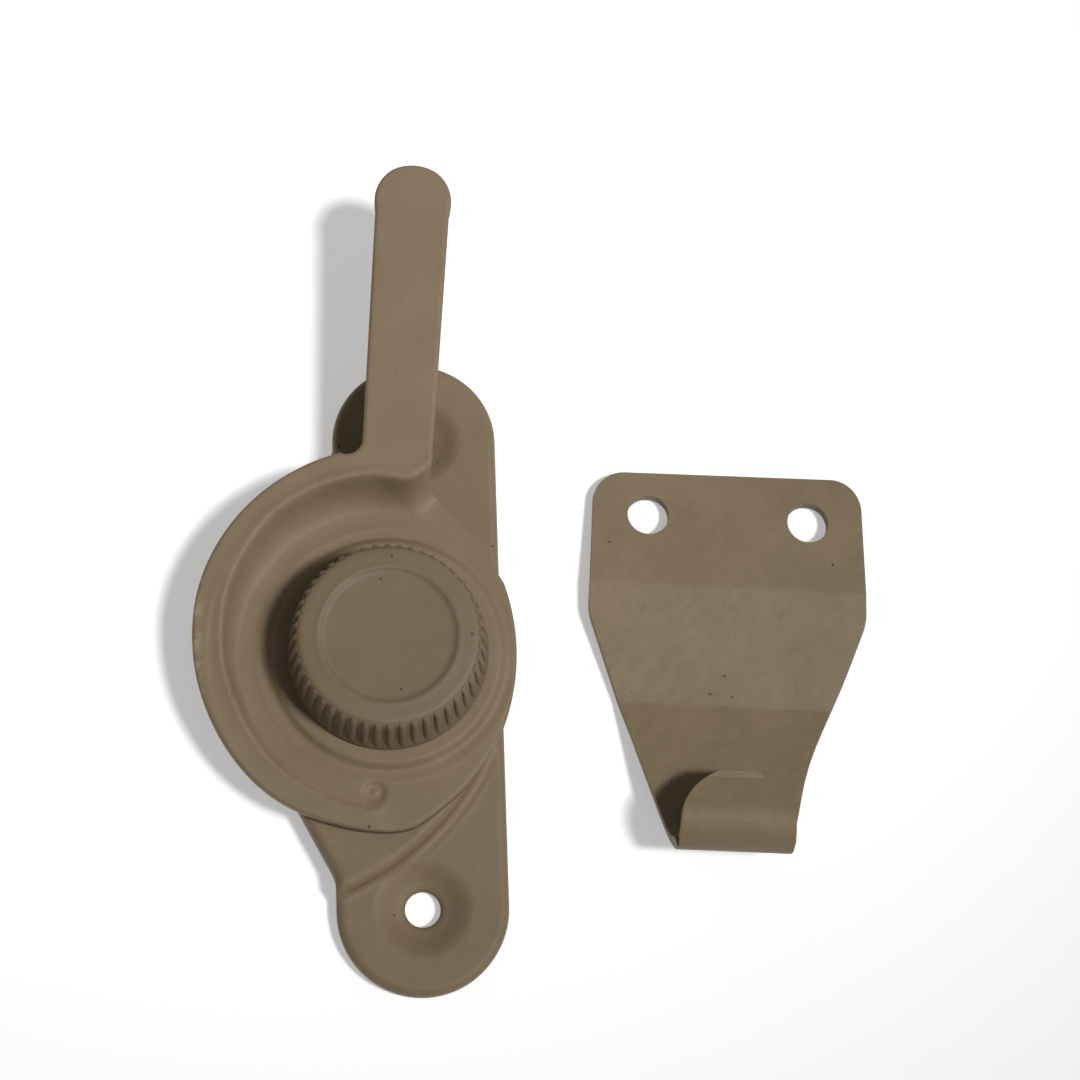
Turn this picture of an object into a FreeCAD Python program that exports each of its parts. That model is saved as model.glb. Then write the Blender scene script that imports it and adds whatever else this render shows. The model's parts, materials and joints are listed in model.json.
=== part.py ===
import FreeCAD, Part
import math
import os
import Sketcher

# Window lock: a crescent cam with its lever on a pressed base, and the keeper that it hooks into.
# The origin is the lever's pivot axis on the mounting plane, +Z points into the room and +Y up the window.
# The lever is drawn in its locked position. All sizes are in millimetres and degrees.

Vector = FreeCAD.Vector
document = FreeCAD.newDocument("window_lock")

# Driving dimensions

SIZES = [
    # base plate
    ("screw_pitch", 60.0, "distance between the two screws of the base"),
    ("lower_screw_drop", 30.7, "lower screw below the pivot"),
    ("screw_offset", 3.85, "screws to the right of the pivot"),
    ("screw_hole_radius", 2.2, "clearance for the fixing screws"),
    ("lobe_radius", 10.55, "round ends of the base"),
    ("wing_radius", 18.6, "round wing under the cam, about the pivot"),
    ("wing_angle", 28.0, "flank of the wing against the base's length"),
    ("wing_corner", 4.5, "hollow corner between wing and lobe"),
    ("tray_height", 3.0, "top of the screw lobes"),
    ("platform_rise", 2.2, "platform above the lobes"),
    ("platform_arc", 33.0, "radius of the platform's lower and upper edges"),
    ("platform_arc_x", -17.8, "centre of these edges, left of the pivot"),
    ("platform_arc_y", 2.6, "centre of these edges, past the platform's middle"),
    ("platform_middle", -0.7, "platform's middle, above the pivot"),
    ("base_sheet", 1.5, "sheet of the base"),
    ("tray_round", 0.9, "rounded top edge of the lobes"),
    ("base_round", 1.25, "rounded top edge of the platform"),
    ("platform_foot", 0.9, "hollow corner at the platform's foot"),
    ("dish_radius", 5.9, "dish round each screw"),
    ("dish_floor", 3.3, "flat floor of the dish"),
    # cam and lever
    ("washer_height", 1.0, "thrust washer"),
    ("washer_radius", 11.0, "thrust washer"),
    ("running_gap", 0.05, "clearance between turning faces"),
    ("cam_sheet", 2.0, "sheet of the cam and lever"),
    ("wall_foot", 18.1, "radius of the drawn wall's foot"),
    ("wall_run", 0.85, "run of the drawn wall for each unit of its height"),
    ("rim_slope", 6.6, "slope of the rim and lever against the hub"),
    ("rim_zero", 19.5, "where the rim meets the hub, below the pivot"),
    ("boss_foot", 14.6, "foot of the ring boss round the dial"),
    ("boss_edge", 13.7, "top edge of the ring boss"),
    ("boss_rise", 0.8, "ring boss above the hub"),
    ("lever_angle", 85.6, "direction of the lever, from the horizontal"),
    ("lever_shift", 0.43, "lever axis to the left of the pivot"),
    ("lever_reach", 61.5, "pivot to the tip of the lever"),
    ("lever_root_half", 4.35, "half width of the lever at the rim"),
    ("lever_tip_half", 4.68, "half width of the lever near its tip"),
    ("lever_root_at", 25.0, "where the root width is measured"),
    ("lever_tip_at", 55.5, "where the tip width is measured"),
    ("lever_fillet", 1.6, "hollow corner between lever and rim"),
    ("lever_crown", 0.7, "height of the crown between the tip's corners"),
    ("crown_share", 0.58, "share of the lever's width that the crown takes"),
    ("shoulder_share", 0.95, "share of the lever's width left at the middle of the tip's corner"),
    ("shoulder_at", 0.62, "middle of the tip's corner, as a share of the way to the crown"),
    ("rim_radius", 24.9, "largest radius of the rim"),
    ("rim_start_reach", 25.05, "pivot to the corner between rim and lever"),
    ("rim_start_angle", 103.0, "direction of the corner between rim and lever"),
    ("nose_reach", 16.77, "pivot to the corner between the rim's nose and the hub"),
    ("nose_angle", 329.0, "direction of the corner between the rim's nose and the hub"),
    ("heel_reach", 17.0, "pivot to the corner between the hub and the cut edge"),
    ("heel_angle", 31.0, "direction of the corner between the hub and the cut edge"),
    ("cut_edge_reach", 21.3, "along the lever to where the cut edge meets its side"),
    ("hub_radius", 15.9, "hub on the side away from the rim"),
    ("relief_radius", 4.2, "hub level let into the lever's root"),
    ("relief_reach", 20.6, "pivot to the middle of the relief at the lever's root"),
    ("relief_angle", 66.5, "direction of the relief at the lever's root"),
    ("pip_radius", 1.3, "half-pierced pip near the cam's nose"),
    ("pip_reach", 17.3, "pivot to the pip"),
    ("pip_angle", 263.7, "direction of the pip"),
    ("pip_depth", 0.5, "depth of the pip"),
    # stud, spring and dial
    ("stud_radius", 4.0, "bearing of the cam on the stud"),
    ("stud_head_radius", 6.5, "head of the stud inside the platform"),
    ("stud_head_height", 1.6, "head of the stud"),
    ("neck_radius", 3.0, "neck of the stud inside the dial"),
    ("neck_flat", 2.4, "flats on the neck, from the axis"),
    ("neck_height", 5.2, "neck of the stud above the bearing"),
    ("spring_sheet", 0.5, "sheet of the spring washer"),
    ("spring_rise", 0.6, "cone height of the spring washer"),
    ("spring_radius", 9.0, "spring washer"),
    ("spring_clearance", 0.3, "bore of the spring washer on the stud"),
    ("keyed_height", 0.9, "keyed washer"),
    ("keyed_radius", 8.0, "keyed washer"),
    ("dial_radius", 12.35, "dial over the ribs at its foot"),
    ("dial_top_radius", 11.35, "dial over the ribs at its top"),
    ("dial_height", 8.9, "dial"),
    ("dial_gap", 0.1, "dial above the ring boss"),
    ("dial_edge", 0.5, "rounded top edge of the dial"),
    ("dial_recess_radius", 8.2, "round recess in the dial's top"),
    ("dial_recess_depth", 0.35, "round recess in the dial's top"),
    ("dial_hollow_radius", 9.6, "hollow foot of the dial, round the washers"),
    ("dial_bore_clearance", 0.5, "space above the stud inside the dial"),
    ("rib_count", 48, "ribs round the dial"),
    ("rib_depth", 0.5, "depth of the grooves between the ribs"),
    ("rib_share", 0.52, "share of the pitch that is groove"),
    # keeper
    ("keeper_sheet", 1.5, "sheet of the keeper"),
    ("keeper_x", 44.57, "middle between the keeper's screws, to the right of the pivot"),
    ("keeper_y", 18.32, "middle between the keeper's screws, above the pivot"),
    ("keeper_turn", -3.8, "turn of the keeper as it lies"),
    ("keeper_pitch", 21.0, "distance between the keeper's screws"),
    ("keeper_hole_radius", 2.7, "clearance for the keeper's screws"),
    ("keeper_screw_inset", 6.2, "top edge to the screws"),
    ("keeper_top_width", 35.2, "keeper along its top edge"),
    ("keeper_width", 36.0, "keeper where it is widest"),
    ("keeper_wide_at", 19.3, "top edge to the widest place"),
    ("keeper_foot_width", 14.1, "keeper at the hook"),
    ("keeper_length", 49.4, "top edge to where the hook's width is reached"),
    ("keeper_corner", 4.0, "rounded top corners"),
    ("keeper_side_round", 7.0, "rounded corners where it is widest"),
    ("flange_length", 15.3, "straight part from the top edge to the first bend"),
    ("flange_slope", 5.0, "slope of the flange as the keeper lies"),
    ("middle_length", 14.8, "straight part between the two bends"),
    ("shank_length", 15.2, "straight part from the second bend to the hook's bend"),
    ("shank_slope", 14.0, "slope of the shank as the keeper lies"),
    ("bend_radius", 2.0, "inner radius of the two bends"),
    ("hook_gap", 5.2, "clear height inside the hook"),
    ("hook_length", 3.7, "straight part of the hook's tab"),
    ("lip_turn", 26.0, "turn of the lip at the tab's end"),
    ("lip_radius", 0.8, "inner radius of the lip"),
    ("lip_length", 0.7, "straight part of the lip"),
]

sheet = document.addObject("Spreadsheet::Sheet", "sizes")
for row, (alias, value, note) in enumerate(SIZES, start=1):
    sheet.set(f"A{row}", alias)
    sheet.set(f"B{row}", str(value))
    sheet.set(f"C{row}", note)
    sheet.setAlias(f"B{row}", alias)
document.recompute()


def size(alias):
    return float(sheet.get(alias))


def polar(radius, degrees, z=0.0):
    return Vector(radius * math.cos(math.radians(degrees)), radius * math.sin(math.radians(degrees)), z)


def line(start, end):
    return Part.LineSegment(start, end).toShape()


def arc(start, middle, end):
    return Part.Arc(start, middle, end).toShape()


def arc_about(centre, radius, start_degrees, end_degrees):
    middle_degrees = (start_degrees + end_degrees) / 2
    return arc(
        centre + polar(radius, start_degrees),
        centre + polar(radius, middle_degrees),
        centre + polar(radius, end_degrees),
    )


def prism(edges, bottom, top):
    face = Part.Face(Part.Wire(Part.__sortEdges__(edges)))
    face.translate(Vector(0, 0, bottom))
    return face.extrude(Vector(0, 0, top - bottom))


def rounded(solid, radius, wanted):
    edges = [edge for edge in solid.Edges if wanted(edge)]
    return solid.makeFillet(radius, edges)


def level(edge, z):
    box = edge.BoundBox
    return abs(box.ZMin - z) < 1e-4 and abs(box.ZMax - z) < 1e-4


def feature(name, shape, placement=FreeCAD.Placement()):
    item = document.addObject("Part::Feature", name)
    item.Shape = shape
    item.Label = name
    item.Placement = placement
    return item


# Heights that follow from the stack of pieces

platform_top = size("tray_height") + size("platform_rise")
hub_bottom = platform_top + size("washer_height") + size("running_gap")
hub_top = hub_bottom + size("cam_sheet")
boss_top = hub_top + size("boss_rise")

# Base plate: a tray pressed from sheet, with a raised platform that carries the cam

screw_x = size("screw_offset")
lower_screw = Vector(screw_x, -size("lower_screw_drop"), 0)
upper_screw = lower_screw + Vector(0, size("screw_pitch"), 0)


def base_outline(inset):
    lobe = size("lobe_radius") - inset
    wing = size("wing_radius") - inset
    hollow = size("wing_corner") + inset
    flank = math.radians(size("wing_angle"))
    left = screw_x - lobe
    right = screw_x + lobe
    reach = (wing * math.cos(flank) + left) / math.sin(flank)
    touch_y = wing * math.sin(flank)
    corner_y = touch_y + reach * math.cos(flank)
    setback = hollow * math.tan(flank / 2)
    edges = []
    for side, screw in ((1, upper_screw), (-1, lower_screw)):
        touch = Vector(-wing * math.cos(flank), side * touch_y, 0)
        corner = Vector(left, side * corner_y, 0)
        before = corner + (touch - corner).normalize() * setback
        after = corner + Vector(0, side * setback, 0)
        centre = after - Vector(hollow, 0, 0)
        toward = (corner - centre).normalize()
        edges.append(line(touch, before))
        edges.append(arc(before, centre + toward * hollow, after))
        edges.append(line(after, Vector(left, screw.y, 0)))
        end = screw + Vector(0, side * lobe, 0)
        edges.append(arc(Vector(left, screw.y, 0), end, Vector(right, screw.y, 0)))
    edges.append(line(Vector(right, upper_screw.y, 0), Vector(right, lower_screw.y, 0)))
    turn = 180 - size("wing_angle")
    edges.append(arc(polar(wing, turn), Vector(-wing, 0, 0), polar(wing, -turn)))
    return edges


def platform_block(inset, top):
    block = prism(base_outline(inset), 0, top)
    for side in (1, -1):
        centre_y = size("platform_middle") - side * size("platform_arc_y")
        centre = Vector(size("platform_arc_x"), centre_y, -1)
        disc = Part.makeCylinder(size("platform_arc") - inset, top + 2, centre)
        block = block.common(disc)
    return block


def make_base_plate():
    tray_top = size("tray_height")
    thick = size("base_sheet")
    foot = size("platform_foot")
    tray = prism(base_outline(0), 0, tray_top)
    platform = platform_block(0, platform_top)
    platform = rounded(platform, size("base_round"), lambda edge: level(edge, platform_top))
    outside = tray.fuse(platform).removeSplitter()
    outside = rounded(outside, foot, is_platform_foot)
    # the lobes lose their sharp top edge, from their ends to the hollow corner at the platform's foot
    sharp = tray.cut(rounded(tray, size("tray_round"), lambda edge: level(edge, tray_top)))
    outside = outside.cut(sharp.cut(platform_block(-1.1 * foot, platform_top)))
    inside = prism(base_outline(thick), 0, tray_top - thick)
    inside = inside.fuse(platform_block(thick, platform_top - thick))
    floor = tray_top - thick
    for screw in (lower_screw, upper_screw):
        pressed = Part.makeCone(size("dish_floor") + thick / 2, size("dish_radius") + thick / 2, floor, screw)
        inside = inside.cut(pressed)
    plate = outside.cut(inside)
    for screw in (lower_screw, upper_screw):
        at_floor = screw + Vector(0, 0, floor)
        dish = Part.makeCone(size("dish_floor"), size("dish_radius"), thick, at_floor)
        hole = Part.makeCylinder(size("screw_hole_radius"), tray_top + 2, screw - Vector(0, 0, 1))
        plate = plate.cut(dish).cut(hole)
    bore = Part.makeCylinder(size("stud_radius"), platform_top + 2, Vector(0, 0, -1))
    return plate.cut(bore)


def is_platform_foot(edge):
    on_level = level(edge, size("tray_height"))
    middle = edge.valueAt((edge.FirstParameter + edge.LastParameter) / 2)
    right_of_flank = middle.x > screw_x - size("lobe_radius")
    inside_right = middle.x < screw_x + size("lobe_radius") - 0.01
    return on_level and right_of_flank and inside_right and abs(middle.y) < size("lower_screw_drop") - 1


feature("base_plate", make_base_plate())

# Helpers for the turned pieces, whose sizes are bound to the table of sizes


def primitive(kind, name, **bound):
    item = document.addObject(kind, name)
    for prop, expression in bound.items():
        target = f"Placement.Base.{prop[3:]}" if prop.startswith("at_") else prop
        item.setExpression(target, expression)
    return item


def cut(name, base, tool):
    item = document.addObject("Part::Cut", name)
    item.Base = base
    item.Tool = tool
    return item


def fuse(name, *pieces):
    item = document.addObject("Part::MultiFuse", name)
    item.Shapes = list(pieces)
    return item


PLATFORM_TOP = "(sizes.tray_height + sizes.platform_rise)"
HUB_TOP = f"({PLATFORM_TOP} + sizes.washer_height + sizes.running_gap + sizes.cam_sheet)"
BOSS_TOP = f"({HUB_TOP} + sizes.boss_rise)"
SPRING_TOP = f"({BOSS_TOP} + sizes.spring_rise + sizes.spring_sheet)"
KEYED_BOTTOM = f"({SPRING_TOP} + sizes.running_gap)"
KEYED_TOP = f"({KEYED_BOTTOM} + sizes.keyed_height)"
DIAL_BOTTOM = f"({BOSS_TOP} + sizes.dial_gap)"
DIAL_TOP = f"({DIAL_BOTTOM} + sizes.dial_height)"

# Thrust washer between the platform and the hub

washer_disc = primitive(
    "Part::Cylinder",
    "washer_disc",
    Radius="sizes.washer_radius",
    Height="sizes.washer_height",
    at_z=PLATFORM_TOP,
)
washer_bore = primitive(
    "Part::Cylinder",
    "washer_bore",
    Radius="sizes.stud_radius + sizes.running_gap",
    Height="sizes.washer_height",
    at_z=PLATFORM_TOP,
)
cut("thrust_washer", washer_disc, washer_bore)

# Cam and lever: one sheet, with the hub pressed down out of the plane of the rim and the lever

# The rim's edge as directions from the pivot, each with its share of the largest radius
RIM_SHARES = [
    (118, 1.0),
    (140, 0.992),
    (160, 0.978),
    (180, 0.95),
    (205, 0.92),
    (230, 0.904),
    (252, 0.884),
    (270, 0.884),
    (283, 0.847),
    (297, 0.787),
    (311, 0.729),
]
lever_along = polar(1, size("lever_angle"))
lever_left = polar(1, size("lever_angle") + 90)


def lever_point(along, left):
    return lever_along * along + lever_left * (left + size("lever_shift"))


def lever_half(along):
    share = (along - size("lever_root_at")) / (size("lever_tip_at") - size("lever_root_at"))
    return size("lever_root_half") + share * (size("lever_tip_half") - size("lever_root_half"))


def cam_outline():
    nose = polar(size("nose_reach"), size("nose_angle"))
    heel = polar(size("heel_reach"), size("heel_angle"))
    root_left = polar(size("rim_start_reach"), size("rim_start_angle"))
    root_right = lever_point(size("cut_edge_reach"), -size("lever_root_half"))
    around = [polar(share * size("rim_radius"), angle) for angle, share in RIM_SHARES]
    rim = Part.BSplineCurve()
    rim.interpolate([root_left] + around + [nose])
    fillet = size("lever_fillet")
    root_along = root_left.dot(lever_along)
    left_low = lever_point(root_along + fillet, lever_half(root_along + fillet))
    left_corner = lever_point(root_along + 0.3 * fillet, lever_half(root_along) + 0.3 * fillet)
    tip_at = size("lever_tip_at")
    half = size("lever_tip_half")
    crown_half = size("crown_share") * half
    crown = size("lever_reach") - size("lever_crown")
    shoulder = tip_at + size("shoulder_at") * (crown - tip_at)
    shoulder_half = size("shoulder_share") * half
    right_side, left_side = lever_point(tip_at, -half), lever_point(tip_at, half)
    right_crown, left_crown = lever_point(crown, -crown_half), lever_point(crown, crown_half)
    edges = [
        rim.toShape(),
        arc(nose, polar(size("hub_radius"), 0), heel),
        line(heel, root_right),
        line(root_right, right_side),
        arc(right_side, lever_point(shoulder, -shoulder_half), right_crown),
        arc(right_crown, lever_point(size("lever_reach"), 0), left_crown),
        arc(left_crown, lever_point(shoulder, shoulder_half), left_side),
        line(left_side, left_low),
        arc(left_low, left_corner, root_left),
    ]
    return edges


def half_space(bottom, slope=0.0):
    # A large block that fills the space above a plane, which slopes up along +Y
    reach = 2 * size("lever_reach")
    block = Part.makeBox(2 * reach, 2 * reach, reach, Vector(-reach, -reach, 0))
    block.rotate(Vector(0, 0, 0), Vector(1, 0, 0), slope)
    block.translate(Vector(0, 0, bottom))
    return block


def wall_cone(centre, foot, bottom):
    height = size("lever_reach") * math.tan(math.radians(size("rim_slope"))) + size("cam_sheet")
    return Part.makeCone(foot, foot + size("wall_run") * height, height, centre + Vector(0, 0, bottom))


def make_cam_lever():
    slope = size("rim_slope")
    thick = size("cam_sheet")
    rim_at_pivot = hub_top + size("rim_zero") * math.tan(math.radians(slope))
    drop = thick / math.cos(math.radians(slope))
    lean = thick * (math.hypot(1, size("wall_run")) - size("wall_run"))
    top = rim_at_pivot + size("lever_reach") * math.tan(math.radians(slope)) + 1
    relief = polar(size("relief_reach"), size("relief_angle"))
    pocket = wall_cone(Vector(), size("wall_foot"), hub_top)
    pocket = pocket.fuse(wall_cone(relief, size("relief_radius"), hub_top))
    swell = wall_cone(Vector(), size("wall_foot") + lean, hub_bottom)
    swell = swell.fuse(wall_cone(relief, size("relief_radius") + lean, hub_bottom))
    over = half_space(rim_at_pivot, slope).common(half_space(hub_top))
    under = half_space(hub_bottom).cut(half_space(rim_at_pivot - drop, slope)).cut(swell)
    cam = prism(cam_outline(), hub_bottom, top).cut(pocket).cut(over).cut(under)
    boss = Part.makeCone(size("boss_foot"), size("boss_edge"), size("boss_rise"), Vector(0, 0, hub_top))
    hollow = Part.makeCylinder(size("boss_edge") - thick / 2, size("boss_rise"), Vector(0, 0, hub_bottom))
    bore = Part.makeCylinder(size("stud_radius") + size("running_gap"), 2 * boss_top)
    deep = size("pip_depth")
    pip_floor = polar(size("pip_reach"), size("pip_angle"), hub_top - deep)
    pip_foot = polar(size("pip_reach"), size("pip_angle"), hub_bottom - deep)
    pip = Part.makeCone(size("pip_radius") - deep, size("pip_radius"), deep, pip_floor)
    nub = Part.makeCylinder(size("pip_radius") - deep, deep, pip_foot)
    return cam.fuse(boss).cut(hollow).cut(bore).cut(pip).fuse(nub).removeSplitter()


feature("cam_lever", make_cam_lever())

# Stud: its head sits inside the platform, its bearing carries the cam and its neck carries the dial

stud_head = primitive(
    "Part::Cylinder",
    "stud_head",
    Radius="sizes.stud_head_radius",
    Height="sizes.stud_head_height",
    at_z=f"{PLATFORM_TOP} - sizes.base_sheet - sizes.stud_head_height",
)
stud_bearing = primitive(
    "Part::Cylinder",
    "stud_bearing",
    Radius="sizes.stud_radius",
    Height=f"{KEYED_BOTTOM} - {PLATFORM_TOP} + sizes.base_sheet",
    at_z=f"{PLATFORM_TOP} - sizes.base_sheet",
)
stud_neck = primitive(
    "Part::Cylinder", "stud_neck", Radius="sizes.neck_radius", Height="sizes.neck_height", at_z=KEYED_BOTTOM
)
stud_flats = primitive(
    "Part::Box",
    "stud_flats",
    Length="2 * sizes.neck_flat",
    Width="2 * sizes.neck_radius",
    Height="sizes.keyed_height",
    at_x="-sizes.neck_flat",
    at_y="-sizes.neck_radius",
    at_z=KEYED_BOTTOM,
)
stud_thread = primitive(
    "Part::Cylinder",
    "stud_thread",
    Radius="sizes.neck_radius",
    Height="sizes.neck_height - sizes.keyed_height",
    at_z=KEYED_TOP,
)
stud_key = document.addObject("Part::MultiCommon", "stud_key")
stud_key.Shapes = [stud_neck, stud_flats]
fuse("pivot_stud", stud_head, stud_bearing, stud_key, stud_thread)

# Spring washer: a shallow cone of spring steel that presses on the boss

spring_top = primitive(
    "Part::Cone",
    "spring_top",
    Radius1="sizes.spring_radius",
    Radius2="sizes.stud_radius + sizes.spring_clearance",
    Height="sizes.spring_rise",
    at_z=f"{BOSS_TOP} + sizes.spring_sheet",
)
spring_edge = primitive(
    "Part::Cylinder", "spring_edge", Radius="sizes.spring_radius", Height="sizes.spring_sheet", at_z=BOSS_TOP
)
spring_under = primitive(
    "Part::Cone",
    "spring_under",
    Radius1="sizes.spring_radius",
    Radius2="sizes.stud_radius + sizes.spring_clearance",
    Height="sizes.spring_rise",
    at_z=BOSS_TOP,
)
spring_bore = primitive(
    "Part::Cylinder",
    "spring_bore",
    Radius="sizes.stud_radius + sizes.spring_clearance",
    Height="sizes.spring_rise + sizes.spring_sheet",
    at_z=BOSS_TOP,
)
cut(
    "spring_washer",
    fuse("spring_blank", spring_top, spring_edge),
    fuse("spring_hollow", spring_under, spring_bore),
)

# Keyed washer: held from turning by the flats of the stud

keyed_disc = primitive(
    "Part::Cylinder", "keyed_disc", Radius="sizes.keyed_radius", Height="sizes.keyed_height", at_z=KEYED_BOTTOM
)
keyed_round = primitive(
    "Part::Cylinder",
    "keyed_round",
    Radius="sizes.neck_radius + sizes.running_gap",
    Height="sizes.keyed_height",
    at_z=KEYED_BOTTOM,
)
keyed_flats = primitive(
    "Part::Box",
    "keyed_flats",
    Length="2 * (sizes.neck_flat + sizes.running_gap)",
    Width="2 * (sizes.neck_radius + sizes.running_gap)",
    Height="sizes.keyed_height",
    at_x="-sizes.neck_flat - sizes.running_gap",
    at_y="-sizes.neck_radius - sizes.running_gap",
    at_z=KEYED_BOTTOM,
)
keyed_hole = document.addObject("Part::MultiCommon", "keyed_hole")
keyed_hole.Shapes = [keyed_round, keyed_flats]
cut("keyed_washer", keyed_disc, keyed_hole)

# Dial: a turned blank with straight ribs cut round its skirt

dial = document.addObject("PartDesign::Body", "lock_dial")


def origin_plane(body, role):
    return next(plane for plane in body.Origin.OriginFeatures if plane.Role == role)


def polygon_sketch(body, name, role, corners, lift=None):
    # A closed outline whose every corner is bound to a pair of formulas
    sketch = body.newObject("Sketcher::SketchObject", name)
    sketch.AttachmentSupport = [(origin_plane(body, role), "")]
    sketch.MapMode = "FlatFace"
    if lift:
        sketch.setExpression("AttachmentOffset.Base.z", lift)
    places = [tuple(document_value(formula) for formula in corner) for corner in corners]
    for index, place in enumerate(places):
        following = places[(index + 1) % len(places)]
        sketch.addGeometry(Part.LineSegment(Vector(*place, 0), Vector(*following, 0)), False)
    for index in range(len(places)):
        sketch.addConstraint(Sketcher.Constraint("Coincident", index, 2, (index + 1) % len(places), 1))
    for index, (corner, place) in enumerate(zip(corners, places)):
        for kind, formula, value in zip(("DistanceX", "DistanceY"), corner, place):
            number = sketch.addConstraint(Sketcher.Constraint(kind, -1, 1, index, 1, value))
            if formula != "0":
                sketch.setExpression(f"Constraints[{number}]", formula)
    return sketch


def document_value(formula):
    return float(document.sizes.evalExpression(formula))


NECK_BORE = "sizes.neck_radius + sizes.running_gap"
HOLLOW_TOP = f"{KEYED_TOP} + sizes.running_gap"
BORE_TOP = f"{KEYED_BOTTOM} + sizes.neck_height + sizes.dial_bore_clearance"
dial_profile = polygon_sketch(
    dial,
    "dial_profile",
    "XZ_Plane",
    [
        ("0", f"{DIAL_TOP} - sizes.dial_recess_depth"),
        ("sizes.dial_recess_radius", f"{DIAL_TOP} - sizes.dial_recess_depth"),
        ("sizes.dial_recess_radius", DIAL_TOP),
        ("sizes.dial_top_radius - sizes.dial_edge", DIAL_TOP),
        ("sizes.dial_top_radius", f"{DIAL_TOP} - sizes.dial_edge"),
        ("sizes.dial_radius", DIAL_BOTTOM),
        ("sizes.dial_hollow_radius", DIAL_BOTTOM),
        ("sizes.dial_hollow_radius", HOLLOW_TOP),
        (NECK_BORE, HOLLOW_TOP),
        (NECK_BORE, BORE_TOP),
        ("0", BORE_TOP),
    ],
)
blank = dial.newObject("PartDesign::Revolution", "dial_blank")
blank.Profile = dial_profile
blank.ReferenceAxis = (dial_profile, ["V_Axis"])
blank.Angle = 360
document.recompute()


def groove_corners(radius):
    floor = f"{radius} - sizes.rib_depth"
    wide = f"{radius} * tan(sizes.rib_share * 180 deg / sizes.rib_count)"
    past = f"{radius} + sizes.rib_depth"
    return [
        (floor, f"-0.5 * {wide}"),
        (past, f"-1.6 * {wide}"),
        (past, f"1.6 * {wide}"),
        (floor, f"0.5 * {wide}"),
    ]


foot_corners = groove_corners("sizes.dial_radius")
head_corners = groove_corners("sizes.dial_top_radius")
groove_foot = polygon_sketch(dial, "groove_foot", "XY_Plane", foot_corners, DIAL_BOTTOM)
groove_head = polygon_sketch(dial, "groove_head", "XY_Plane", head_corners, DIAL_TOP)
groove = dial.newObject("PartDesign::SubtractiveLoft", "dial_groove")
groove.Profile = groove_foot
groove.Sections = [groove_head]
groove.Ruled = True
document.recompute()
ribs = dial.newObject("PartDesign::PolarPattern", "dial_ribs")
ribs.Originals = [groove]
ribs.Axis = (dial_profile, ["V_Axis"])
ribs.Angle = 360
ribs.setExpression("Occurrences", "sizes.rib_count")
dial.Tip = ribs
document.recompute()

# Keeper: a bent strip, cut to a tapering outline, whose end turns back over itself as the hook


class Strip:
    # A strip seen from its side, laid out by straight runs and turns. The first coordinate runs down the
    # keeper and the second away from the surface it lies on
    def __init__(self, place, heading, thick):
        self.place = place
        self.heading = heading
        self.half = thick / 2
        self.upper = []
        self.lower = []
        self.start = self.sides()

    def sides(self):
        left = polar(self.half, self.heading + 90)
        return self.place + left, self.place - left

    def go(self, length):
        upper, lower = self.sides()
        self.place = self.place + polar(length, self.heading)
        after_upper, after_lower = self.sides()
        self.upper.append(line(upper, after_upper))
        self.lower.append(line(lower, after_lower))

    def turn(self, degrees, inner_radius):
        side = 1 if degrees > 0 else -1
        radius = inner_radius + self.half
        centre = self.place + polar(side * radius, self.heading + 90)
        begin = self.heading - side * 90
        self.upper.append(arc_about(centre, radius - side * self.half, begin, begin + degrees))
        self.lower.append(arc_about(centre, radius + side * self.half, begin, begin + degrees))
        self.heading += degrees
        self.place = centre + polar(radius, begin + degrees)

    def solid(self, width):
        edges = self.upper + self.lower + [line(*self.start), line(*self.sides())]
        face = Part.Face(Part.Wire(Part.__sortEdges__(edges)))
        face.translate(Vector(0, 0, -width / 2))
        block = face.extrude(Vector(0, 0, width))
        # stand the side view up: down the keeper becomes -Y and away from the surface +Z
        block.rotate(Vector(), Vector(1, 0, 0), 90)
        block.rotate(Vector(), Vector(0, 0, 1), -90)
        return block


def keeper_outline():
    # seen from the front, with the screws on the X axis
    top = size("keeper_screw_inset")
    half_top = size("keeper_top_width") / 2
    half_wide = size("keeper_width") / 2
    half_foot = size("keeper_foot_width") / 2
    wide_y = top - size("keeper_wide_at")
    foot_y = top - size("keeper_length")
    places = (half_top, top), (half_wide, wide_y), (half_foot, foot_y), (half_foot, foot_y - 2 * half_foot)
    corners = [Vector(x, y, 0) for x, y in places]
    corners += [Vector(-corner.x, corner.y, 0) for corner in reversed(corners)]
    bottom, above = -1, size("keeper_length")
    block = Part.Face(Part.makePolygon(corners + corners[:1])).extrude(Vector(0, 0, above - bottom))
    block.translate(Vector(0, 0, bottom))
    upright = [edge for edge in block.Edges if edge.BoundBox.ZLength > above]
    at_top = [edge for edge in upright if edge.BoundBox.YMin > top - 0.01]
    block = block.makeFillet(size("keeper_corner"), at_top)
    upright = [edge for edge in block.Edges if edge.BoundBox.ZLength > above]
    at_side = [edge for edge in upright if abs(edge.BoundBox.YMin - wide_y) < 0.01]
    return block.makeFillet(size("keeper_side_round"), at_side)


def tab_outline(tip_y):
    half = size("keeper_foot_width") / 2
    bottom, above = -1, size("keeper_length")
    disc = Part.makeCylinder(half, above - bottom, Vector(0, tip_y - half, bottom))
    below = Part.makeBox(2 * half, above, above - bottom, Vector(-half, tip_y - half - above, bottom))
    return disc.fuse(below)


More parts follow.
